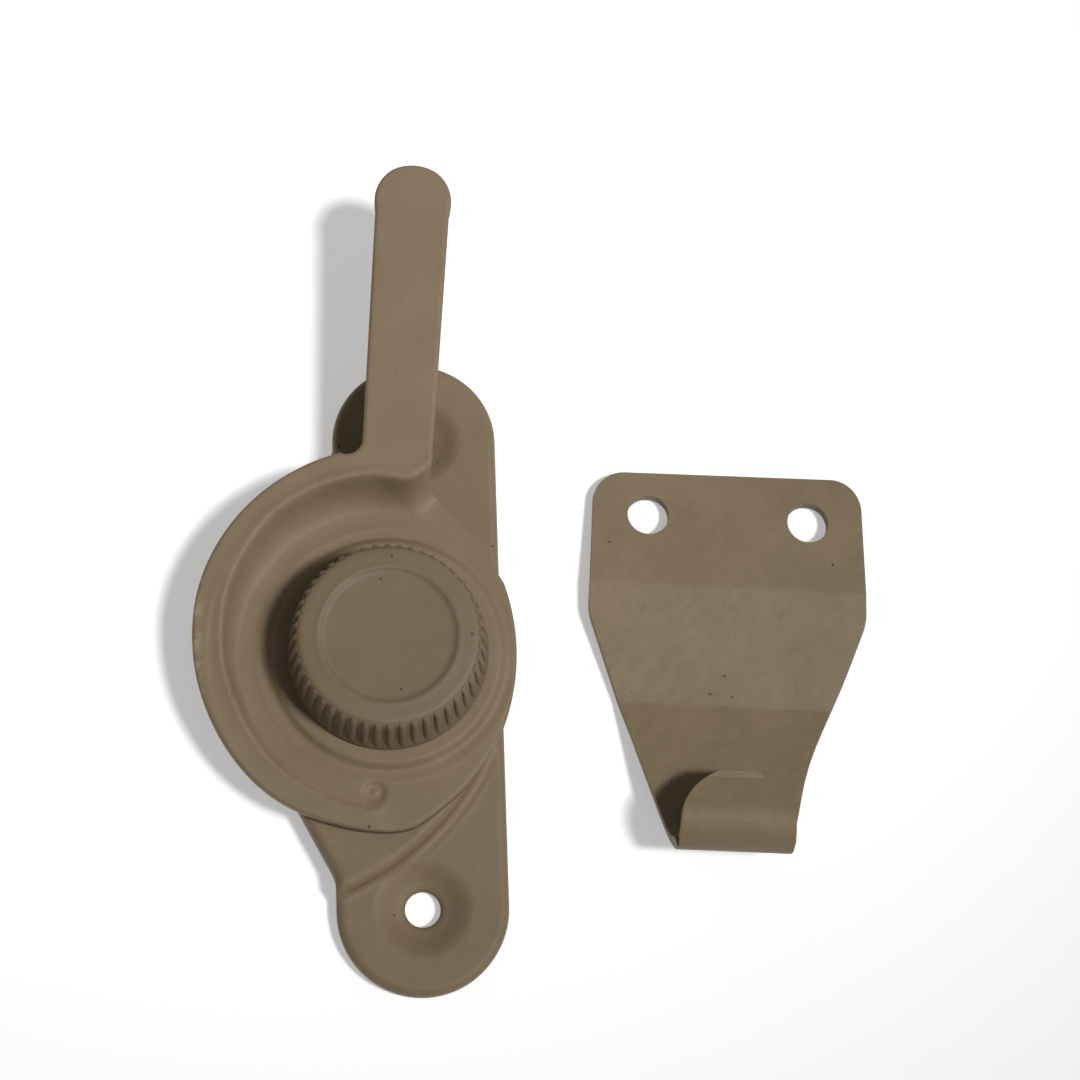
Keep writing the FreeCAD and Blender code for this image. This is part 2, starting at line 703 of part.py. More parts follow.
def make_keeper():
    thick = size("keeper_sheet")
    slope = size("flange_slope")
    plate = Strip(Vector(0, thick / 2 / math.cos(math.radians(slope)), 0), slope, thick)
    rise = size("flange_length") * math.sin(math.radians(slope))
    fall = math.degrees(math.asin(rise / size("middle_length")))
    plate.go(size("flange_length"))
    plate.turn(-slope - fall, size("bend_radius"))
    plate.go(size("middle_length"))
    plate.turn(fall + size("shank_slope"), size("bend_radius"))
    plate.go(size("shank_length"))
    plate.turn(90, size("hook_gap") / 2)
    tab = Strip(plate.place, plate.heading, thick)
    tab.turn(90, size("hook_gap") / 2)
    tab.go(size("hook_length"))
    tab.turn(-size("lip_turn"), size("lip_radius"))
    tab.go(size("lip_length"))
    width = size("keeper_width") + 2
    inset = Vector(0, size("keeper_screw_inset"), 0)
    front = plate.solid(width)
    front.translate(inset)
    hook = tab.solid(width)
    hook.translate(inset)
    front = front.common(keeper_outline())
    hook = hook.common(tab_outline(hook.BoundBox.YMax))
    keeper = front.fuse(hook).removeSplitter()
    for side in (1, -1):
        axis = Vector(0, math.sin(math.radians(slope)), math.cos(math.radians(slope)))
        start = Vector(side * size("keeper_pitch") / 2, 0, 0) - axis * thick
        keeper = keeper.cut(Part.makeCylinder(size("keeper_hole_radius"), 5 * thick, start, axis))
    return keeper


keeper_shape = make_keeper()
keeper_turn = FreeCAD.Rotation(Vector(0, 0, 1), size("keeper_turn"))
keeper_place = Vector(size("keeper_x"), size("keeper_y"), -keeper_shape.BoundBox.ZMin)
feature("keeper", keeper_shape, FreeCAD.Placement(keeper_place, keeper_turn))

PIECES = [
    "base_plate",
    "pivot_stud",
    "thrust_washer",
    "cam_lever",
    "spring_washer",
    "keyed_washer",
    "lock_dial",
    "keeper",
]

document.recompute()
for item in document.Objects:
    if "Invalid" in item.State or "Error" in item.State:
        raise RuntimeError(f"{item.Name} failed to build")
os.makedirs("parts", exist_ok=True)
for name in PIECES:
    piece = document.getObject(name)
    shape = piece.Shape
    if shape.isNull() or not shape.isValid() or len(shape.Solids) != 1:
        raise RuntimeError(f"{name} is not one valid solid")
for name in PIECES:
    shape = document.getObject(name).Shape
    shape.exportStep(f"parts/{name}.step")
    low, high = round(shape.BoundBox.ZMin, 3), round(shape.BoundBox.ZMax, 3)
    print(name, round(shape.Volume, 2), "mm3,", len(shape.Faces), "faces, z", low, high)
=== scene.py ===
# %% [markdown]
# A crescent window lock and its keeper, both pressed from steel sheet and stoved in bronze paint. The
# lever turns the cam half round, its rim draws in under the keeper's hook, and the dial clamps it there.
#
# The imported solids hold every size. This script dresses them: it makes the finer forms of the pressings,
# the ribs of the dial and the paint, and sets the camera and the light. The first cell loads the solids
# and bakes their places into their meshes.

# %% Load the solids
import json
import math

import bmesh
import bpy
import numpy as np
from mathutils import Euler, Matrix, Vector, noise
from mathutils.geometry import delaunay_2d_cdt


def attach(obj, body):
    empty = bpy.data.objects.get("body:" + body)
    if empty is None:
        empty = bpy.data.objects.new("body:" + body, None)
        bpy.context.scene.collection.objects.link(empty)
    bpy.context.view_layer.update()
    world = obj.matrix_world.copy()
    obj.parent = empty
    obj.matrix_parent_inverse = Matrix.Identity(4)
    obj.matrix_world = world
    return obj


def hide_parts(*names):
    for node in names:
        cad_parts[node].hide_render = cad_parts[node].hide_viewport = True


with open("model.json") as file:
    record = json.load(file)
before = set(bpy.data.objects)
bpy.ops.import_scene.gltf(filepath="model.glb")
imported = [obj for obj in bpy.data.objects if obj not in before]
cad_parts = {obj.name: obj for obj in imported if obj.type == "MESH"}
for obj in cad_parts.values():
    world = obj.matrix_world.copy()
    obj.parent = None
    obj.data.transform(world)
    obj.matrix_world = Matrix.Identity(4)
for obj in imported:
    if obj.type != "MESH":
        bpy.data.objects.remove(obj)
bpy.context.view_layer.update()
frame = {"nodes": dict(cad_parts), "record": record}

MM = 0.001
scene = bpy.context.scene
scene.view_settings.view_transform = "Standard"
print("nodes:", sorted(frame["nodes"]))

# %% [markdown]
# Some sizes are read from the solids, so that both agree: from a solid's lowest and highest corner, and
# from the base's pair of screw holes, which is one of the mounts in the record. What these don't tell is
# written below with each piece. All lengths are millimetres, and MM turns them into Blender's metres.

# %% Sizes from the solids


def span(node):
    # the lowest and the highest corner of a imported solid
    places = np.array([vertex.co for vertex in frame["nodes"][node].data.vertices]) / MM
    return places.min(axis=0).round(2), places.max(axis=0).round(2)


screws_mount = next(mount for mount in frame["record"]["mounts"] if mount["name"] == "base_screws")
SCREW_X, BASE_MIDDLE_Y = (round(value / MM, 6) for value in screws_mount["pos_m"][:2])
HALF_PITCH = screws_mount["dims"]["spacing_y_mm"] / 2
HOLE_RADIUS = screws_mount["dims"]["hole_r_mm"]
LOWER_SCREW = np.array([SCREW_X, BASE_MIDDLE_Y - HALF_PITCH])
UPPER_SCREW = np.array([SCREW_X, BASE_MIDDLE_Y + HALF_PITCH])
SCREWS = [LOWER_SCREW, UPPER_SCREW]
(_, _, DIAL_FOOT), (_, _, DIAL_TOP) = span("lock_dial")
(BASE_LEFT, _, _), (BASE_RIGHT, _, PLATFORM_TOP) = span("base_plate")
WASHER_TOP = span("thrust_washer")[1][2]
INSIDE_SOLID = 0.01  # the dressed outlines stay this far inside the solids' box
print("screws at", LOWER_SCREW, "and", UPPER_SCREW, "mm; dial from", DIAL_FOOT, "to", DIAL_TOP, "mm")

# %% [markdown]
# The camera stands almost over the lock and a little below it. Its place, turn and lens were found from
# the screw holes and the round edges, because their real shapes are known: a circle that looks like an
# ellipse tells how the camera leans. A real lens, and not an orthographic view, gives the heights their
# small shift outwards from the middle.

# %% Camera
CAMERA_PLACE = Vector((-3.76, -56.25, 255.8)) * MM
CAMERA_TURN = [math.radians(angle) for angle in (15.99, -4.73, -2.06)]
CAMERA_LENS, SENSOR_WIDTH = 68.5, 36
NEAREST_SEEN = 10 * MM

camera_data = bpy.data.cameras.new("camera")
camera_data.lens = CAMERA_LENS
camera_data.sensor_width = SENSOR_WIDTH
camera_data.clip_start = NEAREST_SEEN
camera = bpy.data.objects.new("camera", camera_data)
camera.location = CAMERA_PLACE
camera.rotation_euler = Euler(CAMERA_TURN)
scene.collection.objects.link(camera)
scene.camera = camera
print("camera stands", round(CAMERA_PLACE.length / MM), "mm from the pivot")

# %% [markdown]
# One soft spot lamp at the lower right gives the shadows that fall to the upper left, and a pale world
# fills them. A sun would light all places alike. A spot is chosen instead, because the soft edge of its
# cone lets the light fall off a little towards the foot of the picture. Together lamp and world light a
# surface that lies flat at about the strength of 1, so a colour renders about as it is written.
#
# The world has two strengths. The camera sees the brighter one as a pale wall behind the floor, and the
# parts are lit by the weaker one.

# %% Lamp and world
LAMP_AZIMUTH, LAMP_HEIGHT = math.radians(-24), math.radians(62)
LAMP_AWAY = 1500 * MM
LAMP_AIM = Vector((-25, 75, 0)) * MM
LAMP_POWER = 81
LAMP_RADIUS = 120 * MM
CONE_ANGLE = math.radians(18)
WORLD_SHARE, WALL_STRENGTH = 0.17, 0.8

lamp_data = bpy.data.lights.new("lamp", "SPOT")
lamp_data.spot_size = CONE_ANGLE
lamp_data.spot_blend = 1.0
lamp_data.shadow_soft_size = LAMP_RADIUS
lamp_data.energy = LAMP_POWER
lamp = bpy.data.objects.new("lamp", lamp_data)
toward_lamp = Vector((
    math.cos(LAMP_AZIMUTH) * math.cos(LAMP_HEIGHT),
    math.sin(LAMP_AZIMUTH) * math.cos(LAMP_HEIGHT),
    math.sin(LAMP_HEIGHT),
))
lamp.location = LAMP_AIM + toward_lamp * LAMP_AWAY
lamp.rotation_euler = toward_lamp.to_track_quat("Z", "Y").to_euler()
scene.collection.objects.link(lamp)

world = bpy.data.worlds.new("world")
world.use_nodes = True
background = world.node_tree.nodes["Background"]
background.inputs["Color"].default_value = (1, 1, 1, 1)
path = world.node_tree.nodes.new("ShaderNodeLightPath")
strength = world.node_tree.nodes.new("ShaderNodeMapRange")
strength.inputs["To Min"].default_value = WORLD_SHARE
strength.inputs["To Max"].default_value = WALL_STRENGTH
world.node_tree.links.new(path.outputs["Is Camera Ray"], strength.inputs["Value"])
world.node_tree.links.new(strength.outputs[0], background.inputs["Strength"])
scene.world = world
print("lamp", LAMP_POWER, "W from", round(math.degrees(LAMP_HEIGHT)), "degrees up; world", WORLD_SHARE)

# %% [markdown]
# Three helpers serve all the finishes. The first turns a colour that is written as on screen into the
# linear value that the renderer adds light in. The second adds a node with its settings and its links: a
# name such as _1 is the node's input number 1, any other name is the input's own. The third starts a
# material whose patterns read Object coordinates, so that they stay on the piece when it turns.

# %% Helpers for materials


def linear(hex_colour):
    parts = [int(hex_colour[i:i + 2], 16) / 255 for i in (1, 3, 5)]
    return [p / 12.92 if p <= 0.04045 else ((p + 0.055) / 1.055) ** 2.4 for p in parts] + [1]


def add(tree, kind, settings=None, **links):
    node = tree.nodes.new(kind)
    for name, value in (settings or {}).items():
        setattr(node, name, value)
    for name, value in links.items():
        socket = node.inputs[int(name[1:])] if name[1:].isdigit() else node.inputs[name.replace("_", " ")]
        if isinstance(value, bpy.types.NodeSocket):
            tree.links.new(value, socket)
        else:
            socket.default_value = value
    return node


def new_material(name):
    material = bpy.data.materials.new(name)
    material.use_nodes = True
    tree = material.node_tree
    shader = tree.nodes["Principled BSDF"]
    position = add(tree, "ShaderNodeTexCoord").outputs["Object"]
    return material, tree, shader, position


print("the screen's middle grey in linear light:", round(linear("#808080")[0], 3))

# %% [markdown]
# The paint is a stoved acrylic enamel in a dark bronze, sprayed on the pressed steel and baked. Such a
# film flows out smooth but keeps a fine orange peel, with dips a millimetre or two across, and its gloss
# is about half of a full one. Its colour has soft clouds some millimetres wide. Dust that settled before
# baking leaves sparse dark specks. The rim's outer left edge, which the hand meets, is rubbed pale in veins.
#
# The paint is no metal to the eye, because the enamel hides the steel, so Metallic stays 0. All patterns
# are worked out by nodes from the place on the piece, so that no picture has to be wrapped round it: noise
# for clouds, veins and peel, and Voronoi cells for the specks. Each cell has one small dark ball, and only
# where the surface cuts a ball does a speck show, which keeps them sparse. The dial's paint is a shade
# deeper, a painted shade for the lower light on its top. The keeper's is a shade lighter, a painted light
# that makes up for the lamp's cone fading at its place, and the keeper has more peel.

# %% Clouds, specks and rubbed veins
SPECK, RUBBED = "#4a3f31", "#a5977f"
CLOUD_SIZE = 6.25 * MM
CLOUD_FROM, CLOUD_TO = 0.35, 0.7
CELL_SIZE = 4.6 * MM
SPECK_SHARE = 0.04  # the radius of a cell's dark ball as a share of the cell
VEIN_SIZE = 1.8182 * MM
VEIN_FROM, VEIN_TO, MOST_RUBBED = 0.5, 0.6, 0.7
RUBBED_FROM, RUBBED_TO = -22.1 * MM, -23.3 * MM


def clouded_and_specked(tree, position, paint, deep, mottle):
    clouds = add(
        tree, "ShaderNodeTexNoise",
        Vector=position, Scale=1 / CLOUD_SIZE, Detail=6.0, Roughness=0.62,
    )
    share = add(
        tree, "ShaderNodeMapRange",
        Value=clouds.outputs[0], _1=CLOUD_FROM, _2=CLOUD_TO, _3=0.0, _4=mottle,
    )
    coat = add(
        tree, "ShaderNodeMix", {"data_type": "RGBA"},
        _0=share.outputs[0], _6=linear(paint), _7=linear(deep),
    )
    cells = add(tree, "ShaderNodeTexVoronoi", Vector=position, Scale=1 / CELL_SIZE)
    from_middle = cells.outputs["Distance"]
    speck = add(tree, "ShaderNodeMath", {"operation": "LESS_THAN"}, _0=from_middle, _1=SPECK_SHARE)
    specked = add(
        tree, "ShaderNodeMix", {"data_type": "RGBA"},
        _0=speck.outputs[0], _6=coat.outputs[2], _7=linear(SPECK),
    )
    return specked.outputs[2]


def rubbed_at_rim(tree, position, coat):
    veins = add(
        tree, "ShaderNodeTexNoise",
        Vector=position, Scale=1 / VEIN_SIZE, Detail=5.0, Roughness=0.7,
    )
    vein = add(
        tree, "ShaderNodeMapRange",
        Value=veins.outputs[0], _1=VEIN_FROM, _2=VEIN_TO, _3=0.0, _4=MOST_RUBBED,
    )
    x_place = add(tree, "ShaderNodeSeparateXYZ", Vector=position).outputs["X"]
    at_rim = add(tree, "ShaderNodeMapRange", Value=x_place, _1=RUBBED_FROM, _2=RUBBED_TO)
    wear = add(tree, "ShaderNodeMath", {"operation": "MULTIPLY"}, _0=vein.outputs[0], _1=at_rim.outputs[0])
    worn = add(
        tree, "ShaderNodeMix", {"data_type": "RGBA"},
        _0=wear.outputs[0], _6=coat, _7=linear(RUBBED),
    )
    return worn.outputs[2]


print("specks are up to", round(2 * SPECK_SHARE * CELL_SIZE / MM, 2), "mm across")

# %% Stoved bronze paint
PAINT, PAINT_DEEP = "#85735a", "#78674d"
# the dial's paint is a shade deeper: a painted shade for the lower light on its top
SHADED_DIAL_PAINT, SHADED_DIAL_DEEP = "#7b6a53", "#6f5f48"
# the keeper's paint is a shade lighter: a painted light that makes up for the lamp's cone fading at its place
LIT_KEEPER_PAINT, LIT_KEEPER_DEEP = "#89775c", "#77664c"
PEEL_SIZE = 1.6 * MM
PEEL_DEPTH, KEEPER_PEEL_DEPTH = 0.045 * MM, 0.09 * MM
MOTTLE, KEEPER_MOTTLE = 0.45, 0.55
PAINT_ROUGHNESS, PAINT_SPECULAR = 0.56, 0.32


def stoved_paint(name, paint, deep, peel=PEEL_DEPTH, mottle=MOTTLE):
    material, tree, shader, position = new_material(name)
    coat = clouded_and_specked(tree, position, paint, deep, mottle)
    tree.links.new(rubbed_at_rim(tree, position, coat), shader.inputs["Base Color"])
    orange_peel = add(tree, "ShaderNodeTexNoise", Vector=position, Scale=1 / PEEL_SIZE, Detail=2.0)
    bump = add(tree, "ShaderNodeBump", Height=orange_peel.outputs[0], Strength=1.0, Distance=peel)
    tree.links.new(bump.outputs[0], shader.inputs["Normal"])
    shader.inputs["Roughness"].default_value = PAINT_ROUGHNESS
    shader.inputs["Specular IOR Level"].default_value = PAINT_SPECULAR
    return material


bronze = stoved_paint("stoved_bronze_paint", PAINT, PAINT_DEEP)
# a darker copy of the bronze paint, a painted shade on the dial
shaded_dial_bronze = stoved_paint("dial_paint_with_painted_shade", SHADED_DIAL_PAINT, SHADED_DIAL_DEEP)
# a lighter copy of the bronze paint, a painted light on the keeper, with more peel and mottle
lit_keeper_bronze = stoved_paint(
    "keeper_paint_with_painted_light", LIT_KEEPER_PAINT, LIT_KEEPER_DEEP, peel=KEEPER_PEEL_DEPTH, mottle=KEEPER_MOTTLE,
)
print("paint:", PAINT, "with peel", round(PEEL_SIZE / MM, 1), "mm across")

# %% [markdown]
# The stud and two of the washers are steel with bright zinc on it, so they are metal, with a grain that
# makes the gloss uneven. The thrust washer is moulded from black nylon, which is no metal and has a soft
# sheen. They show only from low beside the lock, so a short finish is enough. Each finish is then given to
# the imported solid's own mesh, whose shape stays as it is.

# %% Zinc and nylon
ZINC_GRAIN = 0.5 * MM
NYLON_CLOUD = 1.25 * MM


def zinc_plate():
    material, tree, shader, position = new_material("zinc_plated_steel")
    grain = add(tree, "ShaderNodeTexNoise", Vector=position, Scale=1 / ZINC_GRAIN, Detail=2.0)
    rough = add(tree, "ShaderNodeMapRange", Value=grain.outputs[0], _3=0.28, _4=0.45)
    tree.links.new(rough.outputs[0], shader.inputs["Roughness"])
    shader.inputs["Base Color"].default_value = linear("#b9bcc0")
    shader.inputs["Metallic"].default_value = 1.0
    return material


def nylon():
    material, tree, shader, position = new_material("black_nylon")
    cloud = add(tree, "ShaderNodeTexNoise", Vector=position, Scale=1 / NYLON_CLOUD)
    rough = add(tree, "ShaderNodeMapRange", Value=cloud.outputs[0], _3=0.45, _4=0.6)
    tree.links.new(rough.outputs[0], shader.inputs["Roughness"])
    shader.inputs["Base Color"].default_value = linear("#26241f")
    return material


zinc = zinc_plate()
FINISHES = {
    "base_plate": bronze,
    "cam_lever": bronze,
    "lock_dial": shaded_dial_bronze,
    "keeper": lit_keeper_bronze,
    "pivot_stud": zinc,
    "spring_washer": zinc,
    "keyed_washer": zinc,
    "thrust_washer": nylon(),
}
for node_name, finish in FINISHES.items():
    mesh = frame["nodes"][node_name].data
    mesh.materials.clear()
    mesh.materials.append(finish)
print("finishes given to", len(FINISHES), "nodes")

# %% [markdown]
# The cam and its lever are one pressing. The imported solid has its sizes, with sharp corners. A bevel would
# round only its edges, and the wall of a drawn sheet is soft all over. So the same sheet is made again as a
# fine mesh, in three steps: the outline seen from above, a height for each place inside it, and the
# triangles that join them.
#
# The outline comes first. It is made of arcs through three points and of straight stretches. Only the rim's
# edge is a free curve, through a few radii. The nose is where the rim ends at the open foot, and the heel
# is where the hub meets the lever's right side.

# %% Curves in the plane
LEAST_MITRE = 0.5


def polar(radius, degrees):
    angle = np.radians(degrees)
    return np.stack([radius * np.cos(angle), radius * np.sin(angle)], axis=-1)


def smooth_curve(knots, values, at):
    # cubic pieces that pass through the values without a kink
    slopes = np.gradient(values, knots)
    index = np.clip(np.searchsorted(knots, at) - 1, 0, len(knots) - 2)
    width = knots[index + 1] - knots[index]
    t = (at - knots[index]) / width
    from_left = values[index] * (2 * t**3 - 3 * t**2 + 1) + slopes[index] * width * (t**3 - 2 * t**2 + t)
    from_right = values[index + 1] * (3 * t**2 - 2 * t**3) + slopes[index + 1] * width * (t**3 - t**2)
    return from_left + from_right


def arc_through(start, middle, end, step):
    # points a step apart on the circle through three places, without the last one
    (ax, ay), (bx, by) = middle - start, end - start
    a, b = ax * ax + ay * ay, bx * bx + by * by
    centre = start + np.array([by * a - ay * b, ax * b - bx * a]) / (2 * (ax * by - ay * bx))
    radius = np.hypot(*(start - centre))
    angles = np.unwrap([math.atan2(*(point - centre)[::-1]) for point in (start, middle, end)])
    count = max(2, round(radius * abs(angles[2] - angles[0]) / step))
    return centre + polar(radius, np.degrees(np.linspace(angles[0], angles[2], count, endpoint=False)))


def straight(start, end, step):
    # points a step apart on a line, without the last one
    count = max(1, round(float(np.hypot(*(end - start))) / step))
    return start + (end - start) * (np.arange(count) / count)[:, None]


def inward(loop, distance):
    # the loop moved to its left, which is its inside, with mitred corners
    before = loop - np.roll(loop, 1, axis=0)
    after = np.roll(loop, -1, axis=0) - loop
    before /= np.hypot(*before.T)[:, None]
    after /= np.hypot(*after.T)[:, None]
    across = before + after
    across /= np.hypot(*across.T)[:, None]
    normal = np.stack([-across[:, 1], across[:, 0]], axis=-1)
    stretch = np.maximum((across * after).sum(axis=1), LEAST_MITRE)
    return loop + normal * (distance / stretch)[:, None]


quarter = arc_through(polar(10, 0), polar(10, 45), polar(10, 90), 1)
print("a quarter circle of radius 10 in steps of 1 mm has", len(quarter), "points")

# %% Outline of the cam and lever
LEVER_ANGLE = 85.6
LEVER_SHIFT = 0.43
LEVER_REACH = 61.5 - INSIDE_SOLID
LEVER_TIP_AT, TIP_HALF = 55.5, 4.68
CROWN_AT, CROWN_HALF = LEVER_REACH - 0.7, 0.58 * TIP_HALF
SHOULDER_AT, SHOULDER_HALF = LEVER_TIP_AT + 0.62 * (CROWN_AT - LEVER_TIP_AT), 0.95 * TIP_HALF
ROOT_HALF = 4.35
RIGHT_ROOT_AT, LEFT_ROOT_AT, LEFT_FILLET_AT = 21.3, 25.65, 24.5
HEEL_HOLLOW = polar(0.45, 53)
HUB_RADIUS = 15.9
NOSE, HEEL = polar(16.77, 329), polar(17.0, 31)
# the rim's edge: directions in degrees and radii, from the lever round the left to the nose
RIM_EDGE = [
    (103, 25.05), (118, 24.9), (140, 24.7), (160, 24.35), (180, 23.65), (205, 22.9), (230, 22.5),
    (252, 21.95), (265, 22.0), (272, 22.0), (277, 21.75), (283, 20.95), (290, 20.0), (297, 19.25),
    (304, 18.5), (311, 17.85), (329, 16.77),
]
RIM_STEP = 1.25


def lever_point(along, left):
    return polar(along, LEVER_ANGLE) + polar(left + LEVER_SHIFT, LEVER_ANGLE + 90)


def cam_outline():
    # against the clock from the lever's left root; each arc and line ends with the spacing of its points
    knots, radii = np.array(RIM_EDGE, dtype=float).T
    around = np.arange(knots[0], knots[-1], RIM_STEP)
    root_right = lever_point(RIGHT_ROOT_AT, -ROOT_HALF)
    right_side, left_side = lever_point(LEVER_TIP_AT, -TIP_HALF), lever_point(LEVER_TIP_AT, TIP_HALF)
    right_crown, left_crown = lever_point(CROWN_AT, -CROWN_HALF), lever_point(CROWN_AT, CROWN_HALF)
    left_low = lever_point(LEFT_ROOT_AT, ROOT_HALF + 0.02)
    left_fillet = lever_point(LEFT_FILLET_AT, ROOT_HALF + 0.48)
    return np.concatenate([
        polar(smooth_curve(knots, radii, around), around),
        arc_through(NOSE, polar(HUB_RADIUS, 0), HEEL, 0.5),
        arc_through(HEEL, (HEEL + root_right) / 2 + HEEL_HOLLOW, root_right, 0.5),
        straight(root_right, right_side, 0.8),
        arc_through(right_side, lever_point(SHOULDER_AT, -SHOULDER_HALF), right_crown, 0.35),
        arc_through(right_crown, lever_point(LEVER_REACH, 0), left_crown, 0.35),
        arc_through(left_crown, lever_point(SHOULDER_AT, SHOULDER_HALF), left_side, 0.35),
        straight(left_side, left_low, 0.8),
        arc_through(left_low, left_fillet, polar(radii[0], knots[0]), 0.3),
    ])


outline = cam_outline()
print("cam outline:", len(outline), "points, reach", round(float(np.hypot(*outline.T).max()), 2), "mm")

# %% [markdown]
# The second step is the height of the sheet's top over each place: a flat hub, a wall that flares from its
# foot up to a rounded shoulder, and a rim that climbs towards the lever like a ramp. Modelling tools would
# push these forms by hand. A formula is chosen, because on the real pressing each of them follows a rule,
# and a formula gives the same soft change at every place.
#
# What counts is the distance from the wall's foot. It is measured from the round hub and from the small
# level patch at the lever's root, blended where the two meet. The foot moves out towards the lower left and
# wanders by a tenth or two, as a drawn wall does. Two fine ridges, where the sheet was squeezed, run along
# the foot and round the rim, and the ring boss and the small locating dent come on top.

# %% Soft changes


def soft_min(a, b, blend):
    # the lesser of two heights, rounded off where they are close
    share = np.clip(0.5 + 0.5 * (b - a) / blend, 0, 1)
    return b * (1 - share) + a * share - blend * share * (1 - share)


def step_up(value, low, high):
    # 0 below the low value, 1 above the high one, with a soft rise between them
    t = np.clip((value - low) / (high - low), 0, 1)
    return t * t * (3 - 2 * t)


def ridge_at(value, middle, width):
    # 1 at the middle, fading to both sides
    return np.exp(-(((value - middle) / width) ** 2))


def wander(x, y, size, seed):
    return np.array([noise.noise(Vector((px / size, py / size, seed))) for px, py in zip(x, y)])


print("a soft step half way up:", step_up(0.5, 0, 1))
print("a ridge one width off its middle:", round(ridge_at(1, 0, 1), 2))

# %% Height of the cam's top
CAM_SHEET = 2.0
WASHER_PLAY = 0.05
HUB_TOP = WASHER_TOP + WASHER_PLAY + CAM_SHEET
# directions are degrees against the clock from the right
RIM_SLOPE = math.tan(math.radians(6.6))
RIM_ZERO_Y = -19.5
RIM_LEAST, RIM_NONE = 0.22, 0.001
RIM_ENDS = (263, 270)
WALL_FOOT = 18.1
FOOT_AT = [200, 235, 262]
FOOT_OUT = [0.0, 0.75, 1.15]
FOOT_OUT_ENDS = 300
FOOT_WANDER, WANDER_SIZE, WANDER_SEED = 0.16, 7.0, 3.0
RELIEF, RELIEF_RADIUS, RELIEF_BLEND = polar(19.2, 63.4), 3.5, 2.0
# how far out the wall runs for each millimetre that it rises, by direction
RUN_AT = [40, 76, 93, 130, 180, 225, 262, 400]
RUN_OF_WALL = [0.5, 0.5, 0.7, 0.82, 0.85, 0.85, 0.5, 0.5]
FOOT_SOFTNESS = 0.02
WALL_STRAIGHT = 0.3
WALL_OVERRUN = 3
SHOULDER_ROUND = 0.4
RIM_SAG, SAG_FROM_TO = 0.14, (0.3, 1.4)
RIM_BEAD, RIM_BEAD_RADIUS, RIM_BEAD_WIDTH = 0.06, 22.25, 0.3
BEAD_FROM_TO = (0.2, 0.8)
LEVER_BESIDE, LEVER_BEYOND = (-5, -1), (18, 21)
FOOT_RIDGE, FOOT_RIDGE_AT, FOOT_RIDGE_WIDTH = 0.05, -0.25, 0.22


def rim_rise(y, direction):
    # how high the rim's plane stands over the hub, down to nothing at the open foot
    climbing = np.maximum((y - RIM_ZERO_Y) * RIM_SLOPE, RIM_LEAST)
    return np.maximum(climbing * (1 - step_up(direction, *RIM_ENDS)), RIM_NONE)


def past_foot(x, y, direction):
    # the distance outwards from the wall's foot
    wall_foot = WALL_FOOT + np.interp(direction, FOOT_AT, FOOT_OUT) * (direction < FOOT_OUT_ENDS)
    from_relief = np.hypot(x - RELIEF[0], y - RELIEF[1]) - RELIEF_RADIUS
    return soft_min(np.hypot(x, y) - wall_foot, from_relief, RELIEF_BLEND)


def squeezed_ridges(x, y, rim, foot, past_wall):
    # one along the wall's foot, and one round the rim that stops at the lever
    off_lever = 1 - step_up(x - 0.2 * y, *LEVER_BESIDE) * step_up(y, *LEVER_BEYOND)
    round_rim = RIM_BEAD * ridge_at(np.hypot(x, y), RIM_BEAD_RADIUS, RIM_BEAD_WIDTH)
    along_foot = FOOT_RIDGE * ridge_at(foot, FOOT_RIDGE_AT, FOOT_RIDGE_WIDTH) * np.minimum(rim, 1)
    return along_foot + round_rim * off_lever * step_up(past_wall, *BEAD_FROM_TO)


def sheet_top(x, y, lean=0.0):
    # lean moves the wall outwards, for the sheet's underside
    direction = np.degrees(np.arctan2(y, x)) % 360
    rim = rim_rise(y, direction)
    foot = past_foot(x, y, direction) - lean + FOOT_WANDER * wander(x, y, WANDER_SIZE, WANDER_SEED)
    whole_run = np.interp(direction, RUN_AT, RUN_OF_WALL) * rim
    # the share of its run that the wall has made, never quite 0, so that its foot is soft too
    run = (foot + np.sqrt(foot**2 + FOOT_SOFTNESS)) / 2 / whole_run
    # the wall starts shallow and steepens, and the rim cuts it off with a round shoulder
    flare = WALL_STRAIGHT * run + (1 - WALL_STRAIGHT) * run**3
    wall = np.minimum(rim * flare, rim + WALL_OVERRUN)
    height = soft_min(wall, rim, np.minimum(SHOULDER_ROUND, 1.5 * rim))
    past_wall = foot - whole_run
    height = height - RIM_SAG * rim / (rim + 0.5) * step_up(past_wall, *SAG_FROM_TO)
    ridges = squeezed_ridges(x, y, rim, foot, past_wall) if lean == 0 else 0
    return HUB_TOP + height + ridges


for label, place in (("hub", (0, -15)), ("rim, left", (-22, 0)), ("lever's tip", (5, 60))):
    print(label, "top at", round(float(sheet_top(*(np.array([v], dtype=float) for v in place))[0]), 2), "mm")

# %% Ring boss and locating dent
BOSS_RISE, BOSS_EDGE = 0.8, (13.75, 14.75)
BOSS_BEAD, BOSS_BEAD_RADIUS, BOSS_BEAD_WIDTH = 0.07, 16.0, 0.3
DENT = polar(17.37, 263.8)
DENT_DEPTH, DENT_EDGE = 0.36, (0.75, 1.75)
PIP_RISE, PIP_WIDTH = 0.14, 0.36


def boss_and_dent(x, y):
    radius = np.hypot(x, y)
    boss = BOSS_RISE * (1 - step_up(radius, *BOSS_EDGE))
    bead = BOSS_BEAD * ridge_at(radius, BOSS_BEAD_RADIUS, BOSS_BEAD_WIDTH)
    away = np.hypot(x - DENT[0], y - DENT[1])
    dent = -DENT_DEPTH * (1 - step_up(away, *DENT_EDGE)) + PIP_RISE * ridge_at(away, 0, PIP_WIDTH)
    return boss + bead + dent


print("the boss stands", BOSS_RISE, "mm over the hub, the dent is", DENT_DEPTH, "mm deep")

